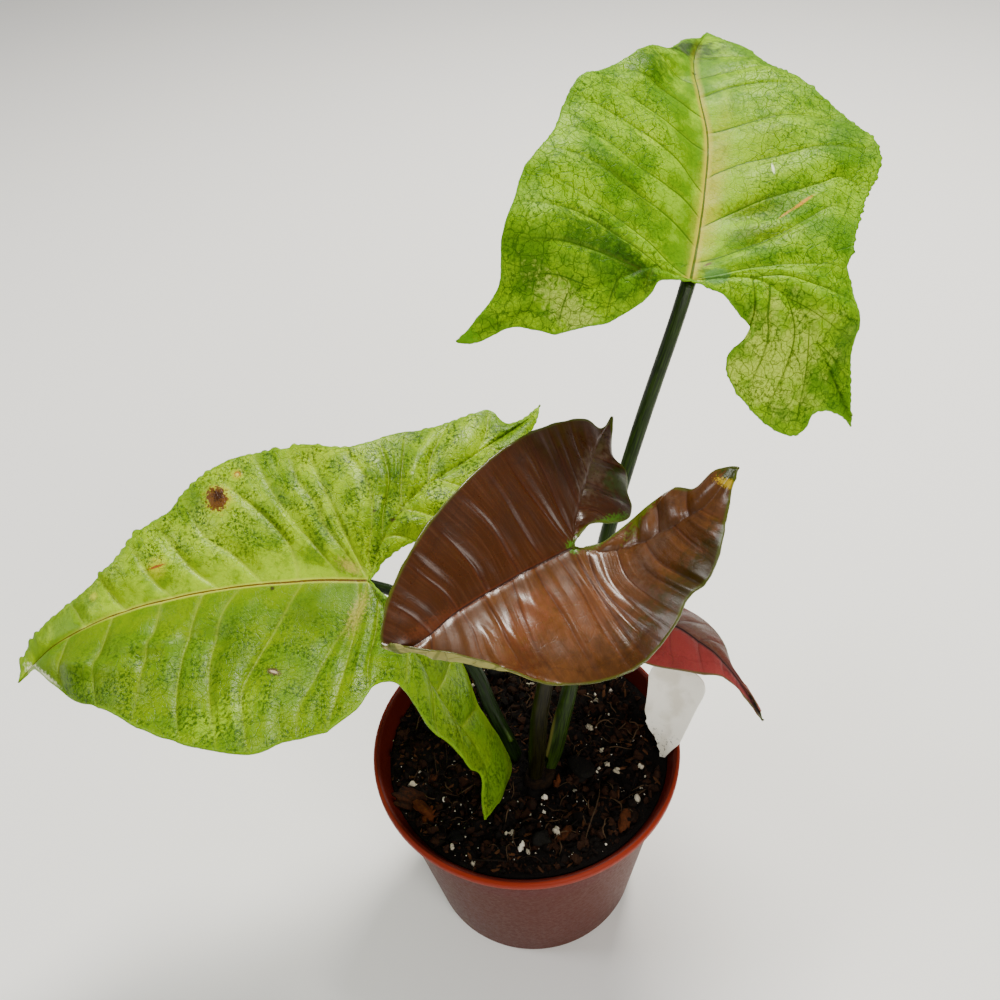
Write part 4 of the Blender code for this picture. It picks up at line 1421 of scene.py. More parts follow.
    def thread_routes(self) -> list[Array]:
        """Draws short bent routes for the peat fibres, four points each, 3 to 9 mm long.

        Returns:
            The routes that stay clear of the pot's wall.
        """
        draw = np.random.default_rng(41)
        spots = self.scattered(self.threads, 42, 42.5)
        heading = draw.uniform(0, 2 * math.pi, (len(spots), 1))
        heading = heading + draw.normal(0, 0.5, (len(spots), 3)).cumsum(axis=1)
        step = draw.uniform(1.0, 3.0, (len(spots), 1))
        moves = np.stack([np.cos(heading) * step, np.sin(heading) * step], -1).cumsum(axis=1)
        routes = spots[:, None] + np.concatenate([np.zeros((len(spots), 1, 2)), moves], axis=1)
        far = np.hypot(routes[..., 0], routes[..., 1]).max(axis=1)
        return list(routes[far < 45.5])

    def build(self) -> None:
        """Makes the soil and everything that lies on it."""
        self.top()
        draw = np.random.default_rng(11)
        spots = self.scattered(self.crumbs, 21)
        sizes = draw.uniform(0.3, 1.0, len(spots)) ** 4 * 1.5 + 0.22
        sizes *= np.clip((47.4 - np.hypot(*spots.T)) / 1.6, 0.2, 1.0)
        self.lumps("peat_crumbs", spots, sizes, draw.uniform(0.5, 1.3, (len(spots), 3)),
                   SoilFinish("damp_peat_crumb", Tone.CRUMB, 0.9, 0.8, 0.3), 31, 0.3)
        spots = self.scattered(self.flakes, 23)
        self.lumps("bark_flakes", spots, draw.uniform(0.35, 1.0, len(spots)),
                   np.tile((2.0, 0.6, 0.35), (len(spots), 1)),
                   SoilFinish("bark_fines", Tone.FLAKE, 0.9, 0.8, 0.2), 36, 0.8)
        spots = self.scattered(self.perlite, 22)
        sizes = 0.16 + 0.42 * draw.random(len(spots)) ** 4
        self.lumps("fine_perlite", spots, sizes, draw.uniform(0.7, 1.2, (len(spots), 3)),
                   SoilFinish("expanded_perlite", Tone.PERLITE, 0.8, 0.85, 0.08), 32, 1.2)
        for name, grains, stretch, finish, seed in (
                ("coarse_perlite", COARSE_PERLITE, (1.1, 0.85, 0.9),
                 SoilFinish("expanded_perlite_coarse", Tone.PERLITE, 1.2, 0.85, 0.15), 33),
                ("stones", STONES, (1.2, 1.0, 0.6), SoilFinish("dark_grit", Tone.STONE, 1.2, 0.8, 0.5), 34),
                ("bark_chips", BARK, (1.5, 0.8, 0.4), SoilFinish("pine_bark", Tone.BARK, 1.4, 0.8, 0.6),
                35)):
            table = np.array(grains)
            self.lumps(name, table[:, :2], table[:, 2], np.tile(stretch, (len(table), 1)), finish, seed,
            0.9)
        self.fibres([*FIBRES, *self.thread_routes()])


# Larger grains on the soil: x, y and radius in millimetres
COARSE_PERLITE = (
    (26.4, -2.5, 0.9), (27.0, -8.6, 0.8), (30.0, -11.6, 1.0), (35.0, -23.5, 1.4), (7.6, -32.3, 1.1),
    (7.9, -34.0, 0.9), (-4.0, -36.9, 1.5), (-2.2, -39.5, 0.7), (-6.9, -31.0, 0.9), (3.4, 28.2, 1.0),
    (-26.2, -35.7, 0.8), (-39.7, -10.3, 1.1), (-19.6, -42.0, 0.8), (11.6, -42.2, 0.8), (23.1, 7.3, 1.2),
    (4.9, -18.5, 0.8), (38.0, -10.8, 0.8), (-30.7, 11.2, 0.7), (32.3, 22.6, 1.0), (15.1, -17.2, 0.6),
    (-28.5, -17.2, 0.7), (26.7, 18.7, 0.8), (4.0, -24.5, 0.6), (-1.0, -24.7, 0.6), (-18.0, 30.0, 1.1),
    (-35.0, 20.0, 0.9), (10.0, 38.0, 1.0))
STONES = ((2.5, -35.0, 2.4), (-25.5, -32.2, 2.0), (17.7, -9.7, 3.2), (-32.0, 14.0, 2.4), (-8.0, 33.0, 2.6))
BARK = ((-39.0, -17.0, 3.6), (-36.5, -20.5, 3.2), (-34.0, -23.5, 2.6), (10.0, -33.8, 1.7), (28.8, 23.9,
2.2),
        (-33.0, -8.0, 1.8), (22.8, 7.0, 1.4), (29.8, -32.0, 2.4), (32.0, -30.0, 2.0), (-38.0, 6.0, 2.4),
        (20.0, 30.0, 2.4), (-11.0, 26.0, 2.6), (9.5, -14.0, 1.6), (36.0, 6.0, 2.0))
FIBRES = (
    ((14.0, 4.8), (18.9, 1.5), (22.4, -4.2), (23.4, -10.2)),
    ((13.5, 3.0), (18.0, 0.5), (21.5, -6.0), (22.5, -12.0)), ((23.6, -3.1), (29.6, -2.0), (36.4, -3.4)),
    ((23.9, -14.1), (22.1, -23.4), (17.5, -33.8), (15.3, -40.6)),
    ((-31.1, 4.9), (-30.1, -1.3), (-29.1, -7.4)), ((-28.3, 5.9), (-27.6, -0.3), (-28.1, -6.3)),
    ((-32.2, 3.0), (-31.6, -3.0), (-31.0, -8.0)), ((-23.4, -40.4), (-14.7, -42.0), (-5.3, -43.0)),
    ((28.0, -24.0), (33.0, -22.0), (38.5, -20.5)), ((31.0, -24.5), (35.5, -16.0), (36.5, -12.0)),
    ((27.0, 6.0), (31.0, 9.0), (36.0, 8.0)), ((-12.0, 14.0), (-16.0, 18.0), (-22.0, 18.0)))


@dataclass(frozen=True)
class RootedStem:
    """The short brown stump that two stalks rise from, in millimetres.

    Each level is a height with the stump's width there as a share of its half widths.
    """

    at: Point = (3.9, -10.6)
    half: Point = (6.0, 4.5)
    turn: float = 25.0
    sides: int = 72
    levels: Points = ((48.0, 0.0), (48.0, 0.72), (53.0, 0.95), (62.0, 1.0), (66.5, 1.0), (69.0, 0.99),
                      (70.5, 0.98), (71.5, 0.97), (72.4, 0.95), (73.2, 0.92), (73.8, 0.88), (74.2, 0.82),
                      (74.4, 0.6), (74.3, 0.3), (74.2, 0.0))

    def finish(self) -> bpy.types.Material:
        """Builds the bark: dull, brown in the ridges and nearly black in the cracks.

        Returns:
            The material.
        """
        look = Look("woody_stem_bark")
        where = look.add("ShaderNodeTexCoord").outputs["Object"]
        noise = look.noise(where, 2.0 * MM, 7.0, 0.7, solid=True)
        look.feed({"Base Color": look.mix(look.ramp(noise, 0.35, 0.7), "#080402", "#221507"),
                   "Roughness": 0.85, "Specular IOR Level": DAMP_SHINE})
        look.bump(noise, 0.5)
        return look.material

    def build(self) -> bpy.types.Object:
        """Makes an oval column with ring scars whose top is rounded.

        A ring at height h is the oval times 1 + 0.025 sin(2.4 h) + 0.03 noise(angle, h).

        Returns:
            The finished piece.
        """
        height, share = np.array(self.levels).T[:, :, None]
        angle = around(self.sides)
        rough = lattice_noise(angle * 6 + 0 * height, height + 0 * angle, 2.0, 5)
        scar = 1 + 0.025 * np.sin(2.4 * height) + 0.03 * rough
        x, y = self.half[0] * share * np.cos(angle) * scar, self.half[1] * share * np.sin(angle) * scar
        turn = math.radians(self.turn)
        points = np.stack([self.at[0] + x * math.cos(turn) - y * math.sin(turn),
                           self.at[1] + x * math.sin(turn) + y * math.cos(turn), height + 0 * angle], -1)
        faces = grid_quads(len(self.levels), self.sides, closed=True, flipped=True)
        piece = new_piece("rooted_stem", points.reshape(-1, 3), faces.tolist(), [self.finish()],
                          merge_mm=MERGE)
        return place(piece, RECORD_SLOTS["stem"], "stem")


@dataclass(frozen=True)
class PlantLabel:
    """The blank plastic tag with a pointed foot, in millimetres.

    Each edge entry is a height along the tag with its left and right edge there.
    """

    foot: Point3 = (46.2, -8.0, 74.0)
    rise: Point3 = (0.28, 0.20, 0.94)
    across: Point3 = (0.906, -0.423, 0.0)
    thickness: float = 0.68
    curl: float = 0.8
    middle: float = -4.6
    rows: int = 96
    columns: int = 14
    edges: tuple[Point3, ...] = (
        (-4.6, -0.9, 0.2), (-0.6, -1.0, 0.6), (3.7, -2.8, 1.8), (5.6, -4.4, 2.5), (8.5, -7.2, 3.5),
        (14.1, -10.6, 3.9), (19.0, -11.6, 4.2), (24.5, -12.7, 4.5), (29.6, -13.8, 5.0), (33.0, -13.2, 4.4),
        (35.4, -11.2, 2.4), (36.6, -8.0, -1.0))

    def finish(self) -> bpy.types.Material:
        """Builds the plastic: creamy white, faintly cloudy, with specks of soil near the foot.

        Returns:
            The material.
        """
        look = Look("white_polystyrene_sheet")
        where = look.known("flat", "Vector")
        height = look.add("ShaderNodeSeparateXYZ", None, {0: where}).outputs["Y"]
        crumbs = look.noise(where, 1.3, 6.0, 0.75)
        colour = look.mix(look.ramp(look.noise(where, 9.0, 4.0), 0.4, 0.7), "#f4f1e6", "#dcd7c8")
        dirt = look.times(look.ramp(crumbs, 0.56, 0.66), look.ramp(height, 4.0, 15.0, 1.0, 0.0))
        look.feed({"Base Color": look.mix(dirt, colour, "#3b2a1c"), "Roughness": 0.42, "IOR": 1.55})
        look.bump(crumbs, 0.03)
        return look.material

    def build(self) -> bpy.types.Object:
        """Makes the curled tag: a point is foot + x across + h rise + curl ((x - middle) / 10)^2 face.

        Returns:
            The finished piece.
        """
        rise = np.array(self.rise) / np.linalg.norm(self.rise)
        across = np.array(self.across) - rise * (np.array(self.across) @ rise)
        across /= np.linalg.norm(across)
        face = np.cross(across, rise)
        table = at_fractions(smooth_path(self.edges, 160), np.linspace(0, 1, self.rows + 1))
        height, left, right = table.T[:, :, None]
        rough = 0.7 * lattice_noise(height, 0 * height, 1.1, 9) * (height > 1)
        rough = rough * np.clip((15 - height) / 3, 0, 1)
        x = left + rough + (right - left - rough) * crowded(self.columns, 0.5)
        curl = self.curl * ((x - self.middle) / 10) ** 2 + 0.25 * np.sin(height * 0.16)
        centre = (np.array(self.foot) + x[..., None] * across + height[..., None] * rise
                  + curl[..., None] * face)
        half = face * self.thickness / 2
        ring = np.concatenate([centre + half, (centre - half)[:, ::-1]], axis=1)
        rows, sides = ring.shape[:2]
        both = np.concatenate([x, x[:, ::-1]], 1)
        flat = np.stack([both, np.broadcast_to(height, (rows, sides)), 0 * both], -1)
        piece = new_piece("blank_label", ring.reshape(-1, 3), tube_faces(rows, sides), [self.finish()],
                          {"flat": flat.reshape(-1, 3)})
        edge = piece.modifiers.new("eased", "BEVEL")
        edge.width = 0.18 * MM
        edge.segments = 2
        edge.limit_method = "ANGLE"
        edge.angle_limit = math.radians(50)
        return place(piece, RECORD_SLOTS["plant_label"], "plant_label")


TALL = Blade(
    name="blade_tall", at=(56.0, 46.1, 225.0), turn=(-16.0, 23.5, 18.0), size=1.0,
    midrib=((-2, 110), (-6, 95), (-7, 83), (-4.5, 67), (0, 50), (1, 20), (0, 0)),
    right=Half(
        blade=((-2, 110), (2.4, 102.8), (10.3, 97), (19.2, 88), (29, 78), (40.2, 69.2), (48.3, 61),
               (50.5, 51),
               (47.5, 38), (45, 26), (43, 13)),
        lobe=((43, 13), (47, 3), (51, -8), (54.5, -19), (56.5, -25), (60, -31)),
        sinus=((60, -31), (53, -28), (46.5, -29.5), (45, -35.5), (40, -38), (31, -35.5), (22, -30),
               (16, -24), (15.5, -18), (20, -12), (16, -8), (9, -2.5), (0, 0)),
        rib=((0, 0), (10, 3), (21, 3), (32, -3), (43, -13), (52, -22), (60, -31)),
        blade_veins=(((-6.5, 88), (3, 92), (14, 93)), ((-6, 76), (3, 82), (19, 88)),
                     ((-4.5, 67), (7, 75), (28, 79)),
                     ((-1, 54), (12, 60), (27, 66), (43, 66.5)),
                     ((1.2, 37), (4, 40), (11, 44.3), (20, 48), (33, 54),
                                                                 (49.5, 57)),
                     ((1.3, 19), (7, 24.5), (16.5, 31), (26, 36.3), (34, 41), (40, 45), (48, 43)),
                     ((0.6, 6), (10, 11), (21.5, 18), (30, 26), (38, 33), (46, 32))),
        lobe_veins=(((16, 3.4), (28, 6), (47, 3)), ((28, 0), (38, -3), (51, -8)),
                    ((40, -10), (47, -13.5), (54.5, -19))),
        sinus_veins=(((9, 3), (11, 0), (12, -4.5)), ((17, 3.3), (18.5, -4), (20, -12)),
                     ((22, 3), (23, -6), (25.2, -13), (24, -24), (19, -27)),
                     ((27, 0.5), (32.5, -9.6), (33, -22), (31, -35.5)),
                     ((36, -6.4), (40, -20), (42.5, -37)))),
    left=Half(
        blade=((-2, 110), (-5, 101), (-10, 95.5), (-15, 87), (-23, 79), (-31, 68), (-38, 58), (-44, 51),
               (-46.5, 40), (-49, 27), (-54, 14)),
        lobe=((-54, 14), (-54.5, 3), (-55, -8), (-52, -19), (-55, -29), (-59, -37.5)),
        sinus=((-59, -37.5), (-53, -36), (-46, -30), (-38, -28.5), (-32, -27.5), (-25, -23.5),
               (-18, -19), (-13, -13), (-10.5, -8), (-8.5, -3.5), (0, 0)),
        rib=((0, 0), (-11, -0.5), (-20, -7), (-37, -19), (-49, -29), (-59, -37.5)),
        blade_veins=(((-7, 86), (-10, 88), (-13, 91)), ((-5.5, 72), (-13, 75), (-23, 79)),
                     ((-2.5, 59), (-13, 62), (-34, 64)), ((0.2, 47), (-11, 49), (-25, 52), (-41, 55)),
                     ((0.8, 31), (-4.4, 35.4), (-9, 38.4), (-20, 41), (-33, 44), (-46, 45)),
                     ((1, 22), (-4.3, 26), (-11, 27.4), (-22, 29), (-33, 33), (-48, 33)),
                     ((0.8, 12), (-5, 16), (-14, 18), (-27, 20), (-40, 23), (-51, 21))),
        lobe_veins=(((-9, -0.2), (-22, 3), (-37, 6), (-54.5, 3)),
                    ((-16, -3.5), (-30, -3), (-42, -4), (-55, -8)),
                    ((-28, -12.5), (-40, -13), (-52, -19))),
        sinus_veins=(((-12, -1), (-12.5, -5), (-12, -11)), ((-21, -7.6), (-21, -14), (-20, -20.2)),
                     ((-33, -16), (-33, -21), (-32, -27.5)))),
    creases=(Crease((0, 0), 302, 6, 26, -1), Crease((0, 58), 90, 45, -23, 0), Crease((9, 2),
             289, 14, -42, 1),
             Crease((-9, 1.5), 258.5, 14, -35, -1), Crease((14, 0), 0, 34, -5, 1),
             Crease((-14, 0), 180, 34, -8, -1), Crease((1, 0), 0, 5, 11, 1), Crease((-1, 0),
             180, 5, 16, -1)),
    pucker=0.9, wave=(1.0, 3.5), teeth=(1.0, 0.3), seed=3, sway=1.1, sweep=-2.0,
    bulges=(
        Bulge((46, -1), (7, 4.5), -15, 2.4), Bulge((-24, 66), (9, 5), 60, 2.2),
        Bulge((16, 26), (11, 4), 20, -1.8), Bulge((-30, 24), (9, 5), -20, 1.6),
        Bulge((22, 62), (10, 6), 20, 1.2), Bulge((-12, 74), (8, 4), 40, -1.2)),
    finish=LeafFinish(
        name="tall", light="#84b002", deep="#4d7c00", fleck="#2a5202", vein="#345c06", band="#b4a838",
        midrib="#3c5410", margin="#5f8e0c", under="#8fae4c", deep_share=0.85, fleck_share=0.8,
        fleck_from=0.48,
        halo=0.05, vein_strength=0.9, net_mm=3.6, net_strength=0.8, band_mm=2.4, rib_strength=0.2,
        roughness=0.38,
        shine=0.06,
        blotches=(
            # Painted shade and painted light: the broad, soft green blotches from here to the one at (13,
            # 45) darken the folds, the hollows, the valley by the junction and the tip that faces the key
            # light, and lighten the lobes' faces
            Blotch((-23, 70), (12, 8), 40, "#375c00", 0.9, 0.9),
            Blotch((-10, 92), (13, 7), 25, "#1c3400", 0.95, 0.9),
            Blotch((-31, 24), (10, 5), 0, "#456c00", 0.8, 0.9),
            Blotch((-20, 17), (8, 3.5), -20, "#4c7000", 0.7, 0.9),
            Blotch((16, 28), (12, 3.6), 18, "#456200", 0.9, 0.9),
            Blotch((18, 19), (11, 4), 15, "#4e6800", 0.85, 0.9),
            Blotch((3, 86), (8, 4), 25, "#4c7806", 0.7, 0.9),
            Blotch((38, 62), (8, 4.5), -30, "#4c7804", 0.7, 0.9),
            Blotch((30, 78), (9, 4), -45, "#568404", 0.6, 0.9),
            Blotch((-30, 0), (14, 6.5), -12, "#24480e", 0.8, 0.9),
            Blotch((-44, -14), (8, 5), -30, "#2c5210", 0.5, 0.8),
            Blotch((-49, 4), (5, 6), 10, "#8fb82c", 0.6, 0.9),
            Blotch((-17, -3), (12, 4), -25, "#1a3204", 0.9, 0.9),
            Blotch((-30, -21), (16, 5), -28, "#b4cc4c", 0.8, 0.7),
            Blotch((-41, 50), (5, 11), 10, "#93c400", 0.6, 0.9),
            Blotch((-20, 41), (5, 3.5), 30, "#a4cc00", 0.7, 0.9),
            Blotch((-30, 90), (8, 8), 40, "#86b400", 0.5, 0.9),
            Blotch((46, 16), (6, 10), 0, "#2f6010", 0.6, 0.9),
            Blotch((29, -18), (16, 17), -30, "#bcd444", 0.8, 0.7),
            Blotch((48, -8), (5, 12), 10, "#33600f", 0.6, 0.8),
            Blotch((13, 45), (16, 22), 0, "#8cae0c", 0.5, 0.9),
            Blotch((2.4, 30), (4.6, 34), -2, "#a8a022", 0.75, 1.0, 0.4),
            Blotch((-57, -35.5), (3.5, 3.0), 0, "#5f9a10", 0.9, 0.6),
            Blotch((7, 2.6), (4.2, 3.0), 20, "#4e7a35", 0.9, 0.3, 0.5),
            Blotch((28.8, 31.8), (0.55, 4.2), -42, "#c28a24", 0.95, 0.3),
            Blotch((24.4, 27.2), (0.4, 2.6), -42, "#b58a2a", 0.9, 0.4),
            Blotch((19.4, 42.5), (0.4, 2.2), 12, "#eef2cf", 0.9, 0.4),
            Blotch((-6.8, 79), (0.8, 0.6), 0, "#2a2b10", 0.95, 0.4),
            Blotch((4.2, 6.4), (0.45, 1.6), -50, "#5e4630", 0.9, 0.4))))

LEFT = Blade(
    name="blade_left", at=(-45.4, 18.2, 143.8), turn=(98.0, -2.5, -17.0), size=0.975,
    midrib=((-2, 121), (2, 113), (5.5, 98), (8, 75), (7.5, 45), (4, 18), (0, 0)),
    right=Half(
        blade=((-2, 121), (4, 117), (12, 105), (18, 92), (25, 79), (33, 71), (38, 61), (46, 52),
               (52, 39), (53.5, 26), (53, 13)),
        lobe=((53, 13), (48.5, 2), (49, -6), (54, -20), (54.5, -31), (58, -45), (60, -53), (54, -58.5),
              (56, -65), (62, -73)),
        sinus=((62, -73), (55, -70), (44, -63), (33, -56), (21, -45), (13, -31), (10.5, -18), (7, -8),
               (0, 0)),
        rib=((0, 0), (11, -6), (22, -15), (31, -27), (40, -43), (49.5, -57.5), (55.5, -67.2), (62, -73)),
        blade_veins=(((6.5, 92), (11, 95), (15, 98)), ((7.8, 78), (14, 82), (21, 85)),
                     ((8, 62), (16, 68), (30, 74)), ((7.8, 47), (18, 56), (36, 66)),
                     ((6.8, 33), (13, 37.5), (19, 42), (27, 50), (43, 56)),
                     ((5.2, 22), (12, 22), (20, 24), (30, 30), (40, 38), (50, 44)),
                     ((2.2, 9), (6, 10), (17, 16), (28, 22), (40, 27), (53.2, 30)),
                     ((0.9, 3.5), (5, 3), (12, 6), (21, 10.5), (30, 12.5), (39, 17), (53.2, 19))),
        lobe_veins=(((3, -1.5), (8, -1.5), (18, -4.5), (28, -6), (37, -5), (48.5, 0)),
                    ((12, -6.5), (22, -9), (35, -13), (51, -12)),
                    ((22, -15), (34, -17), (54, -22)), ((30, -25.5), (42, -29), (56, -38)),
                    ((41, -45), (50, -50), (60, -53))),
        sinus_veins=(((13, -7.2), (13, -12), (10, -17)), ((22, -15), (18, -24), (13, -31)),
                     ((32, -29), (27, -38), (21, -45)), ((44, -49), (40, -55), (38, -60)))),
    left=Half(
        blade=((-2, 121), (0, 113), (-8, 105), (-18, 95), (-24, 85), (-34, 74), (-42, 63), (-49, 53),
               (-54, 40), (-51.5, 30), (-51.5, 18)),
        lobe=((-51.5, 18), (-45, 8.5), (-37.5, 3), (-36, -4), (-41, -11), (-46, -20), (-48, -31),
              (-51, -42), (-51.5, -50), (-57, -50.5), (-64, -51.5)),
        sinus=((-64, -51.5), (-58, -58), (-51, -67), (-45, -74.5), (-39.5, -67), (-33, -53),
               (-24, -45), (-19, -33), (-14.5, -17), (-8, -6), (0, 0)),
        rib=((0, 0), (-12, -4), (-25, -13), (-36, -29), (-43, -45), (-50, -55), (-57, -54), (-64, -51.5)),
        blade_veins=(((5.5, 98), (-3, 101), (-12, 101)), ((7.3, 82), (-4, 86), (-15, 88), (-23, 87)),
                     ((8, 66), (0, 68), (-12, 71), (-33, 75)),
                     ((7.6, 52), (-1, 56), (-15, 60), (-30, 62), (-44, 60)),
                     ((7, 40), (0, 46), (-11, 50), (-28, 52), (-51, 49)),
                     ((4.2, 20), (-4, 26.5), (-11, 31), (-20, 37), (-32, 42), (-54, 40)),
                     ((0.8, 3), (-9, 4.5), (-14, 8), (-21, 14), (-31, 20), (-42, 26), (-51.7, 26))),
        lobe_veins=(((-8, -2.6), (-18, 0), (-30, 4), (-40, 4.5)), ((-22, -10.5), (-30, -9), (-38, -7)),
                    ((-32, -22), (-38, -23), (-46.5, -23)), ((-39, -35), (-44, -37), (-50, -39))),
        sinus_veins=(((-14, -5), (-13, -9), (-12, -12)), ((-25, -13), (-20, -20), (-16, -23)),
                     ((-34, -25.5), (-27, -33), (-21, -38)), ((-41, -40), (-36, -47), (-33, -53)))),
    creases=(Crease((0, 65), 90, 45, -27, 0), Crease((5, 0), 286, 22, -13, 1),
             Crease((-5, 0), 256.5, 22, -67.5, -1), Crease((14, 0), 0, 34, -14, 1),
             Crease((-14, 0), 180, 34, 18, -1), Crease((1, 0), 0, 5, 15, 1), Crease((-1, 0),
             180, 5, 2.5, -1)),
    pucker=1.4, wave=(0.8, 3.0), teeth=(1.7, 0.15), tooth_mm=3.0, folds=0.3, seed=8, columns=44, sway=0.9,
    sweep=-0.5,
    bulges=(
        Bulge((-8, 92), (8, 3.5), 70, 3.0), Bulge((-8, 66), (11, 3.2), 80, 3.2),
        Bulge((-9, 57), (11, 3.5), 80, -2.8), Bulge((-14, 78), (8, 4), 60, 1.2),
        Bulge((30, -22), (9, 4), 40, 1.2), Bulge((-34, 44), (9, 5), 20, 1.0),
        Bulge((26, -10), (8, 3.5), 10, -1.0), Bulge((-12, 22), (9, 4), 40, -1.2),
        Bulge((14, 12), (7, 3), 20, 1.0), Bulge((-25, -20), (10, 5), -60, 0.9)),
    finish=LeafFinish(
        name="speckled", light="#94b604", deep="#557c00", fleck="#2c4c00", vein="#9aa83c", band="#c2c840",
        midrib="#50340c", margin="#6d9404", under="#6d8f1c", deep_share=0.75, fleck_share=0.95,
        fleck_from=0.45,
        # Painted shade: the left half, lower in view, is darker as it lies in shade
        left_half_painted_light="#688600", halo=0.07, vein_strength=0.2, net_mm=4.2, net_strength=0.45, band_mm=1.5,
        rib_strength=0.2, roughness=0.32, shine=0.16,
        blotches=(
            # Partly the leaf's own mottle and partly painted shade and light: the broad, soft green blotches
            # from here to the one at (20, 84) darken the pleats and hollows and lighten the faces turned to
            # the light
            Blotch((30, 40), (14, 20), 20, "#9bb81c", 0.4, 0.9),
            Blotch((-16, 44), (8, 16), 80, "#486800", 0.6, 0.9),
            Blotch((-8, 20), (7, 12), 60, "#4c6c00", 0.6, 0.9),
            Blotch((34, -14), (12, 9), 20, "#3c6200", 0.7, 0.9),
            Blotch((47, 10), (6, 12), 0, "#a4c00c", 0.5, 0.9),
            Blotch((-4, 92), (7, 16), 10, "#5c7800", 0.6, 0.9),
            Blotch((-40, 50), (7, 15), 20, "#93b800", 0.6, 0.9),
            Blotch((-11, 5), (2.6, 9), 62, "#b8a458", 0.6, 0.8),
            Blotch((-30, -24), (12, 24), 20, "#6c9000", 0.5, 0.9),
            Blotch((20, 84), (4, 16), 25, "#8eae10", 0.5, 0.9),
            Blotch((6, 5), (2.4, 5), -40, "#b89c50", 0.6, 0.9),
            Blotch((38.5, 43.5), (5.8, 5.0), 20, "#a8a81c", 0.8, 0.5, 1.0),
            Blotch((38.5, 44), (4.6, 3.7), 20, "#5a3414", 0.97, 0.2, 1.3),
            Blotch((39.5, 43.5), (2.6, 2.0), 10, "#2e1608", 0.9, 0.6, 2.0),
            Blotch((46.2, 36.5), (2.4, 2.4), 0, "#b8bc0c", 0.8, 0.8, 1.0),
            Blotch((46.2, 36.5), (1.3, 1.1), 30, "#94581e", 0.9, 0.2, 2.0),
            Blotch((46.0, 36.6), (0.7, 0.6), 30, "#c5c646", 0.95, 0.3),
            Blotch((19.5, 66), (4.2, 3.6), 0, "#c0c400", 0.8, 0.9, 1.0),
            Blotch((19.6, 66), (0.5, 3.0), 5, "#8b3d14", 0.95, 0.3, 2.5),
            Blotch((15, 88), (1.8, 1.6), 0, "#c4c80c", 0.7, 0.9, 1.0),
            Blotch((-26.8, 32), (1.2, 2.6), -35, "#4b3a24", 0.95, 0.3),
            Blotch((-26.8, 32), (0.45, 1.5), -35, "#b9a88a", 0.9, 0.3),
            Blotch((3.9, 30.4), (0.9, 0.8), 0, "#2f2312", 0.9, 0.4),
            Blotch((18.6, -11.5), (0.8, 1.0), 0, "#3c3413", 0.9, 0.4),
            Blotch((22.5, -6), (0.6, 0.6), 0, "#43401a", 0.9, 0.4),
            Blotch((-5.0, 109.5), (2.8, 10.5), -44, "#eef0c8", 0.95, 0.4, 1.0))))

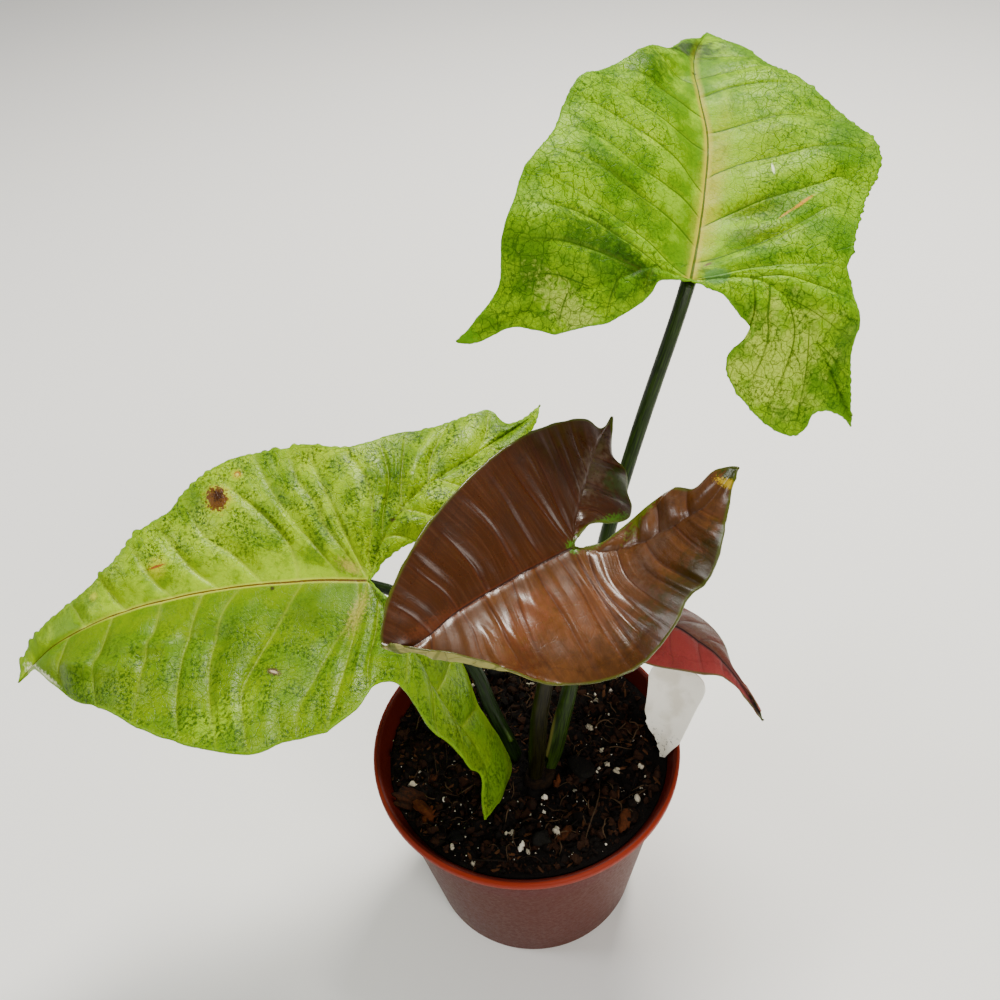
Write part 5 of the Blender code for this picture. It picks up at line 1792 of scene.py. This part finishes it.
BRONZE = Blade(
    name="blade_bronze", at=(17.0, -3.7, 173.0), turn=(128.0, 7.5, -30.0), size=0.975,
    midrib=((-2, 66), (-2, 54), (0, 42), (0.5, 24), (0, 0)),
    right=Half(
        blade=((-2, 66), (4, 64), (10, 59), (16.5, 51), (22, 42), (28, 28), (32, 15), (34, 6)),
        lobe=((34, 6), (35.3, -4), (35.5, -15), (35, -24), (32.5, -33), (28.5, -37.5), (30.5, -46)),
        sinus=((30.5, -46), (26, -41.5), (19, -35.5), (13, -37), (7, -32), (2.5, -30), (0, -25), (1, -18),
               (3, -12), (2.8, -6), (0, 0)),
        rib=((0, 0), (9, -9), (18, -22), (25, -34), (30.5, -46)),
        blade_veins=(((-1.8, 52), (4, 54), (9, 57), (11, 58.2)), ((0, 42), (6, 43), (12, 46), (18, 48.6)),
                     ((0.4, 31), (8, 31), (15, 33), (24.5, 36.5)),
                     ((0.5, 20), (6, 20), (16, 20.5), (29, 25)),
                     ((0.4, 11), (8.8, 12), (20, 12.5), (32.4, 13.5))),
        lobe_veins=(((2.5, -2.3), (12, -2.6), (22, -3.8), (35.3, -5)),
                    ((9.5, -9.6), (22, -12), (35.5, -16)),
                    ((16, -19), (26, -22), (34.5, -26))),
        sinus_veins=(((9, -9), (6, -15), (1.2, -18)), ((15, -17.5), (9, -25), (4, -31)),
                     ((21, -27), (17, -32), (14, -36.8)))),
    left=Half(
        blade=((-2, 66), (-7.4, 61), (-14.4, 54.3), (-20, 46.5), (-26, 37), (-33.4, 26.4), (-37.5, 14),
               (-38.5, 6)),
        lobe=((-38.5, 6), (-38, -5), (-35.5, -13), (-37, -22), (-34, -31), (-30, -39), (-26.5, -48)),
        sinus=((-26.5, -48), (-20.5, -44), (-18, -37), (-12, -34), (-6.5, -30), (-4, -21), (-3.5, -13),
               (-2.6, -6), (0, 0)),
        rib=((0, 0), (-8, -10), (-16, -21), (-23, -32), (-25.5, -41), (-26.5, -48)),
        blade_veins=(((-1.8, 52), (-5, 54), (-11, 57.6)),
                     ((0, 41), (-6.8, 42.1), (-13.3, 44.5), (-20.5, 45.6)),
                     ((0.3, 33), (-7, 34), (-15, 36), (-26, 37)),
                     ((0.5, 23), (-6.3, 25.8), (-13.9, 28.7), (-21.2, 30.5), (-31, 30)),
                     ((0.4, 15), (-7.4, 16.1), (-16, 17), (-26, 19), (-35.8, 20)),
                     ((0.1, 6), (-7, 6.5), (-16, 8), (-26, 10), (-38, 11))),
        lobe_veins=(((-3, -3.2), (-13.7, 1.5), (-25.8, 2), (-38.3, 0)),
                    ((-8, -10), (-17, -6), (-27.5, -6.6), (-36.5, -9)),
                    ((-13, -17), (-22, -15), (-36.4, -18)), ((-19, -25.5), (-27, -25), (-36, -26)),
                    ((-23.5, -33.5), (-28, -34), (-32, -35))),
        sinus_veins=(((-9, -11), (-7, -15), (-3.7, -17)), ((-16, -21), (-11, -26), (-6, -29)),
                     ((-21.5, -30), (-18, -33), (-16, -36)))),
    creases=(Crease((-10.4, 49.9), 136, 4, 115, 0), Crease((0, 38), 90, 45, -15.5, 0),
             Crease((4, 0), 288, 20, -13, 1), Crease((-4, 0), 237.5, 20, 62, -1), Crease((14, 0),
             0, 34, -3, 1),
             Crease((-14, 0), 180, 34, -12, -1), Crease((1, 0), 0, 5, 11, 1), Crease((-1, 0),
             180, 5, 9.5, -1)),
    pucker=0.8, wave=(0.4, 3.0), folds=0.5, seed=5, row_mm=0.6, columns=42, sweep=-1.5,
    bulges=(
        Bulge((-12, 22), (9, 2.0), 25, 0.5), Bulge((-18, 33), (8, 2.0), 15, 0.5),
        Bulge((-20, 4), (9, 2.5), 5, 0.5), Bulge((-8, 38), (6, 1.6), 15, -0.4)),
    finish=LeafFinish(
        name="bronze", light="#381900", deep="#2a1200", fleck="#1c0a00", vein="#220a00", band="#56240a",
        # Painted reflection: the left half takes a lighter, pinker brown for the bright surroundings that it
        # reflects
        midrib="#240c02", margin="#465008", under="#8d8a45", left_half_painted_light="#56320f", deep_share=0.4,
        fleck_share=0.1, halo=0.2, vein_strength=0.4, net_mm=6.0, net_strength=0.1, silk=0.14,
        painted_sheen_colour="#6d4630", band_mm=1.0, grain_relief=0.12, rib_strength=0.12, margin_mm=1.0,
        roughness=0.32,
        shine=0.3, gloss=0.15,
        blotches=(
            Blotch((-37, 14), (9, 32), 8, "#3a1e00", 0.9, 0.8),
            Blotch((-34, -20), (7, 24), -8, "#332800", 0.9, 0.8),
            Blotch((-26, 42), (16, 6), -50, "#482000", 0.85, 0.8),
            # Painted reflection of the bright surroundings: the pinkish patches on the left half and the
            # pinkish grey one on its lobe
            Blotch((-18, 10), (10, 16), 0, "#6d4228", 0.5, 0.9),
            Blotch((-11, 26), (6, 14), 15, "#6d3c24", 0.5, 0.9),
            Blotch((-16, -20), (6, 14), 20, "#5c4434", 0.6, 0.9),
            Blotch((-26.5, -46), (5, 3.4), 0, "#2f3806", 0.95, 0.5),
            Blotch((-27.5, -43.5), (4.5, 1.3), 15, "#a88c08", 0.95, 0.4),
            Blotch((-5.5, -24), (3, 10), 15, "#4c5c0c", 0.85, 0.6),
            Blotch((10, -30), (6, 8), -20, "#2c3a0e", 0.85, 0.7),
            # Painted silvery sheen on the right lobe
            Blotch((18, -24), (5, 14), 30, "#5d4c3e", 0.6, 0.8),
            Blotch((1, -14), (2.4, 12), 0, "#3f6a14", 0.9, 0.5),
            Blotch((-2.6, -14), (1.6, 10), 0, "#3f6a14", 0.85, 0.5),
            Blotch((0, 0), (2.2, 2.0), 0, "#3f6f14", 0.9, 0.5),
            Blotch((0, 50), (2.2, 12), 0, "#5c2c12", 0.5, 0.8))))

PINK = Blade(
    name="blade_pink", at=(37.7, 22.5, 117.1), turn=(-125.0, 3.4, -12.6), size=1.0,
    midrib=((0, 60), (0, 40), (0, 20), (0, 0)),
    right=Half(
        blade=((0, 60), (3.5, 50), (6.2, 40.2), (13.6, 30), (19.2, 19), (20.6, 8)),
        lobe=((20.6, 8), (17.5, -3), (14, -10), (11, -16)), sinus=((11, -16), (7, -12), (4, -8), (0, 0)),
        rib=((0, 0), (5, -5), (8.5, -10), (11, -16)),
        blade_veins=(((0, 36), (4, 38), (6.2, 40.5)), ((0, 26), (6, 29), (11, 33)),
                     ((0, 16), (8, 19), (16.5, 24.5)),
                     ((0, 7), (8, 9), (19.8, 15))),
        lobe_veins=(((4, -4), (11, -2), (18, -1)),), sinus_veins=(((5, -5), (5, -8), (5, -9.2)),)),
    left=Half(
        blade=((0, 60), (-3.5, 50), (-6.2, 40.2), (-13.6, 30), (-19.2, 19), (-20.6, 8)),
        lobe=((-20.6, 8), (-18.6, -4), (-15.5, -12), (-13, -19)),
        sinus=((-13, -19), (-8, -14), (-4, -8), (0, 0)),
        rib=((0, 0), (-6, -6), (-10, -12), (-13, -19)),
        blade_veins=(((0, 36), (-4, 38), (-6.2, 40.5)), ((0, 26), (-6, 29), (-11, 33)),
                     ((0, 16), (-8, 19), (-16.5, 24.5)), ((0, 7), (-8, 9), (-19.8, 15))),
        lobe_veins=(((-4, -4), (-11, -3), (-19, -2)),), sinus_veins=(((-6, -6), (-6, -9), (-5.5, -10.3)),)),
    creases=(Crease((0, 33), 90, 14, -15, 0), Crease((0, 8), 90, 30, -35, 0), Crease((1, 0), 0, 6, -12, 1),
             Crease((-1, 0), 180, 6, -23, -1)),
    pucker=0.5, wave=(0.3, 2.0), seed=6, row_mm=0.6, columns=30,
    finish=LeafFinish(
        name="pink", light="#9c3a38", deep="#782624", fleck="#430b0d", vein="#561418", band="#563a34",
        # Painted sheen: the left half takes a greyer colour for the light that it catches at a grazing angle
        midrib="#2f1a1e", margin="#505830", under="#8a5a50", left_half_painted_light="#6a4230", deep_share=0.4,
        fleck_share=0.4, halo=0.15, vein_strength=0.3, net_mm=3.0, net_strength=0.2, silk=0.12,
        painted_sheen_colour="#8a5048", band_mm=1.6, roughness=0.42,
        blotches=(
            Blotch((0, 57), (4, 7), 0, "#17120f", 0.97, 0.5),
            Blotch((0, 45), (5, 9), 0, "#5c2c30", 0.7, 0.9),
            # Painted grey sheen on the left half
            Blotch((-3, 22), (4, 14), 10, "#7c6c64", 0.5, 0.9))))

GREEN_STALK = StalkFinish("green", "#283c0a", "#111d04", "#64602c")
LEFT_STALK = StalkFinish("left", "#1c300c", "#0a1404", "#4a6424")
DARK_STALK = StalkFinish("dark", "#1e1d06", "#0c0a02", "#4d3a1c")
REDDISH_STALK = StalkFinish("reddish", "#3d2f12", "#1e1306", "#6a4a34")


def stalks() -> tuple[Stalk, ...]:
    """The four stalks, each with the blade that it carries."""
    return (
        Stalk("petiole_tall",
              ((5.9, -9.9, 62.0), (6.5, -9.4, 70.5), (10.0, -5.8, 79.2), (14.7, 0.7, 97.6),
              (20.6, 9.0, 118.0),
               (29.9, 22.5, 149.0), (36.2, 30.7, 166.5), (43.0, 37.6, 185.6), (51.6, 43.2, 212.0)),
              (1.5, 1.6, 2.3, 2.6, 2.4, 2.3, 2.2, 2.2, 2.1), TALL, GREEN_STALK, (100.0, 1.4, 200.0)),
        Stalk("petiole_left",
              ((-2.4, -0.6, 58.0), (-4.3, 0.5, 70.5), (-10.7, 7.0, 87.8), (-15.3, 13.6, 101.6),
               (-25.0, 19.0, 118.0), (-36.4, 19.4, 134.6)),
              (2.2, 2.4, 2.4, 2.2, 2.0, 1.8), LEFT, LEFT_STALK, (88.0, 1.3, 300.0)),
        Stalk("petiole_bronze",
              ((1.4, -11.8, 62.0), (2.0, -11.6, 70.5), (3.3, -11.0, 84.0), (4.7, -9.6, 102.2),
               (6.8, -8.4, 116.0), (12.8, -5.4, 153.5), (15.8, -4.2, 168.0)),
              (1.9, 2.0, 2.8, 2.7, 2.5, 2.1, 1.8), BRONZE, DARK_STALK),
        Stalk("petiole_pink",
              ((9.6, -1.5, 58.0), (10.4, -0.2, 70.5), (13.0, 4.1, 79.0), (18.1, 11.4, 94.1),
               (24.1, 16.0, 103.7), (31.4, 20.2, 111.6)),
              (1.3, 1.3, 1.3, 1.2, 1.2, 1.1), PINK, REDDISH_STALK))

def framed(right: object, up: object, back: object, at: object) -> Matrix:
    """The world matrix of something with these axes at this place, in metres."""
    rows = np.column_stack([right, up, back, at]).tolist()
    return Matrix([*rows, [0.0, 0.0, 0.0, 1.0]])


@dataclass(frozen=True)
class SoftBox:
    """A square studio light that points at the plant, in metres and watts."""

    name: str
    at: Point3
    size: float
    power: float
    colour: str = "#ffffff"

    def build(self) -> None:
        """Adds the light, turned towards the middle of the plant."""
        data = bpy.data.lights.new(self.name, "AREA")
        data.energy = self.power
        data.size = self.size
        data.color = linear(self.colour)[:3]
        lamp = bpy.data.objects.new(self.name, data)
        bpy.context.scene.collection.objects.link(lamp)
        away = np.array(self.at) - PLANT_MIDDLE
        back = away / np.linalg.norm(away)
        right = np.cross((0.0, 0.0, 1.0), back)
        right /= np.linalg.norm(right)
        up = np.cross(back, right)
        lamp.matrix_world = framed(right, up, back, self.at)


@dataclass(frozen=True)
class Studio:
    """A plain pale floor, soft light and the photograph's camera."""

    floor_side: float = 6.0
    floor_colour: str = "#f4f4f2"
    world: float = 0.3
    lights: tuple[SoftBox, ...] = (
        SoftBox("key", (0.31, 0.62, 1.18), 0.3, 28.0, "#fffaf0"),
        SoftBox("fill", (0.45, -1.0, 0.75), 0.7, 13.0, "#fffaf0"),
        SoftBox("left", (-0.95, 0.0, 0.95), 0.3, 5.0, "#ffffff"))

    def build(self) -> None:
        """Adds the floor, the lights, the world and the camera."""
        card = Look("matt_white_card")
        card.feed({"Base Color": self.floor_colour, "Roughness": 0.9})
        half = self.floor_side / 2 / MM
        corners = [(-half, -half, 0), (half, -half, 0), (half, half, 0), (-half, half, 0)]
        floor = new_piece("floor", corners, [(0, 1, 2, 3)], [card.material])
        for light in self.lights:
            light.build()
        world = bpy.data.worlds.new("studio")
        world.use_nodes = True
        sky = world.node_tree.nodes["Background"].inputs
        sky["Color"].default_value = linear("#ffffff")
        sky["Strength"].default_value = self.world
        bpy.context.scene.world = world
        data = bpy.data.cameras.new("photo_camera")
        data.sensor_width = CAMERA_SENSOR
        data.lens = CAMERA_LENS
        data.clip_start = 0.01
        camera = bpy.data.objects.new("photo_camera", data)
        bpy.context.scene.collection.objects.link(camera)
        camera.matrix_world = framed(CAMERA_RIGHT, CAMERA_UP, CAMERA_BACK, np.array(CAMERA_AT) * MM)
        bpy.context.scene.camera = camera


def main() -> None:
    """Loads the frame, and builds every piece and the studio."""
    logging.basicConfig(level=logging.INFO, format="%(name)s %(message)s")
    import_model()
    pot = NurseryPot()
    pot.build()
    PottingSoil(pot).build()
    RootedStem().build()
    PlantLabel().build()
    for blade in (TALL, LEFT, BRONZE, PINK):
        blade.build()
    for stalk in stalks():
        stalk.build()
    Studio().build()


if __name__ == "__main__":
    main()
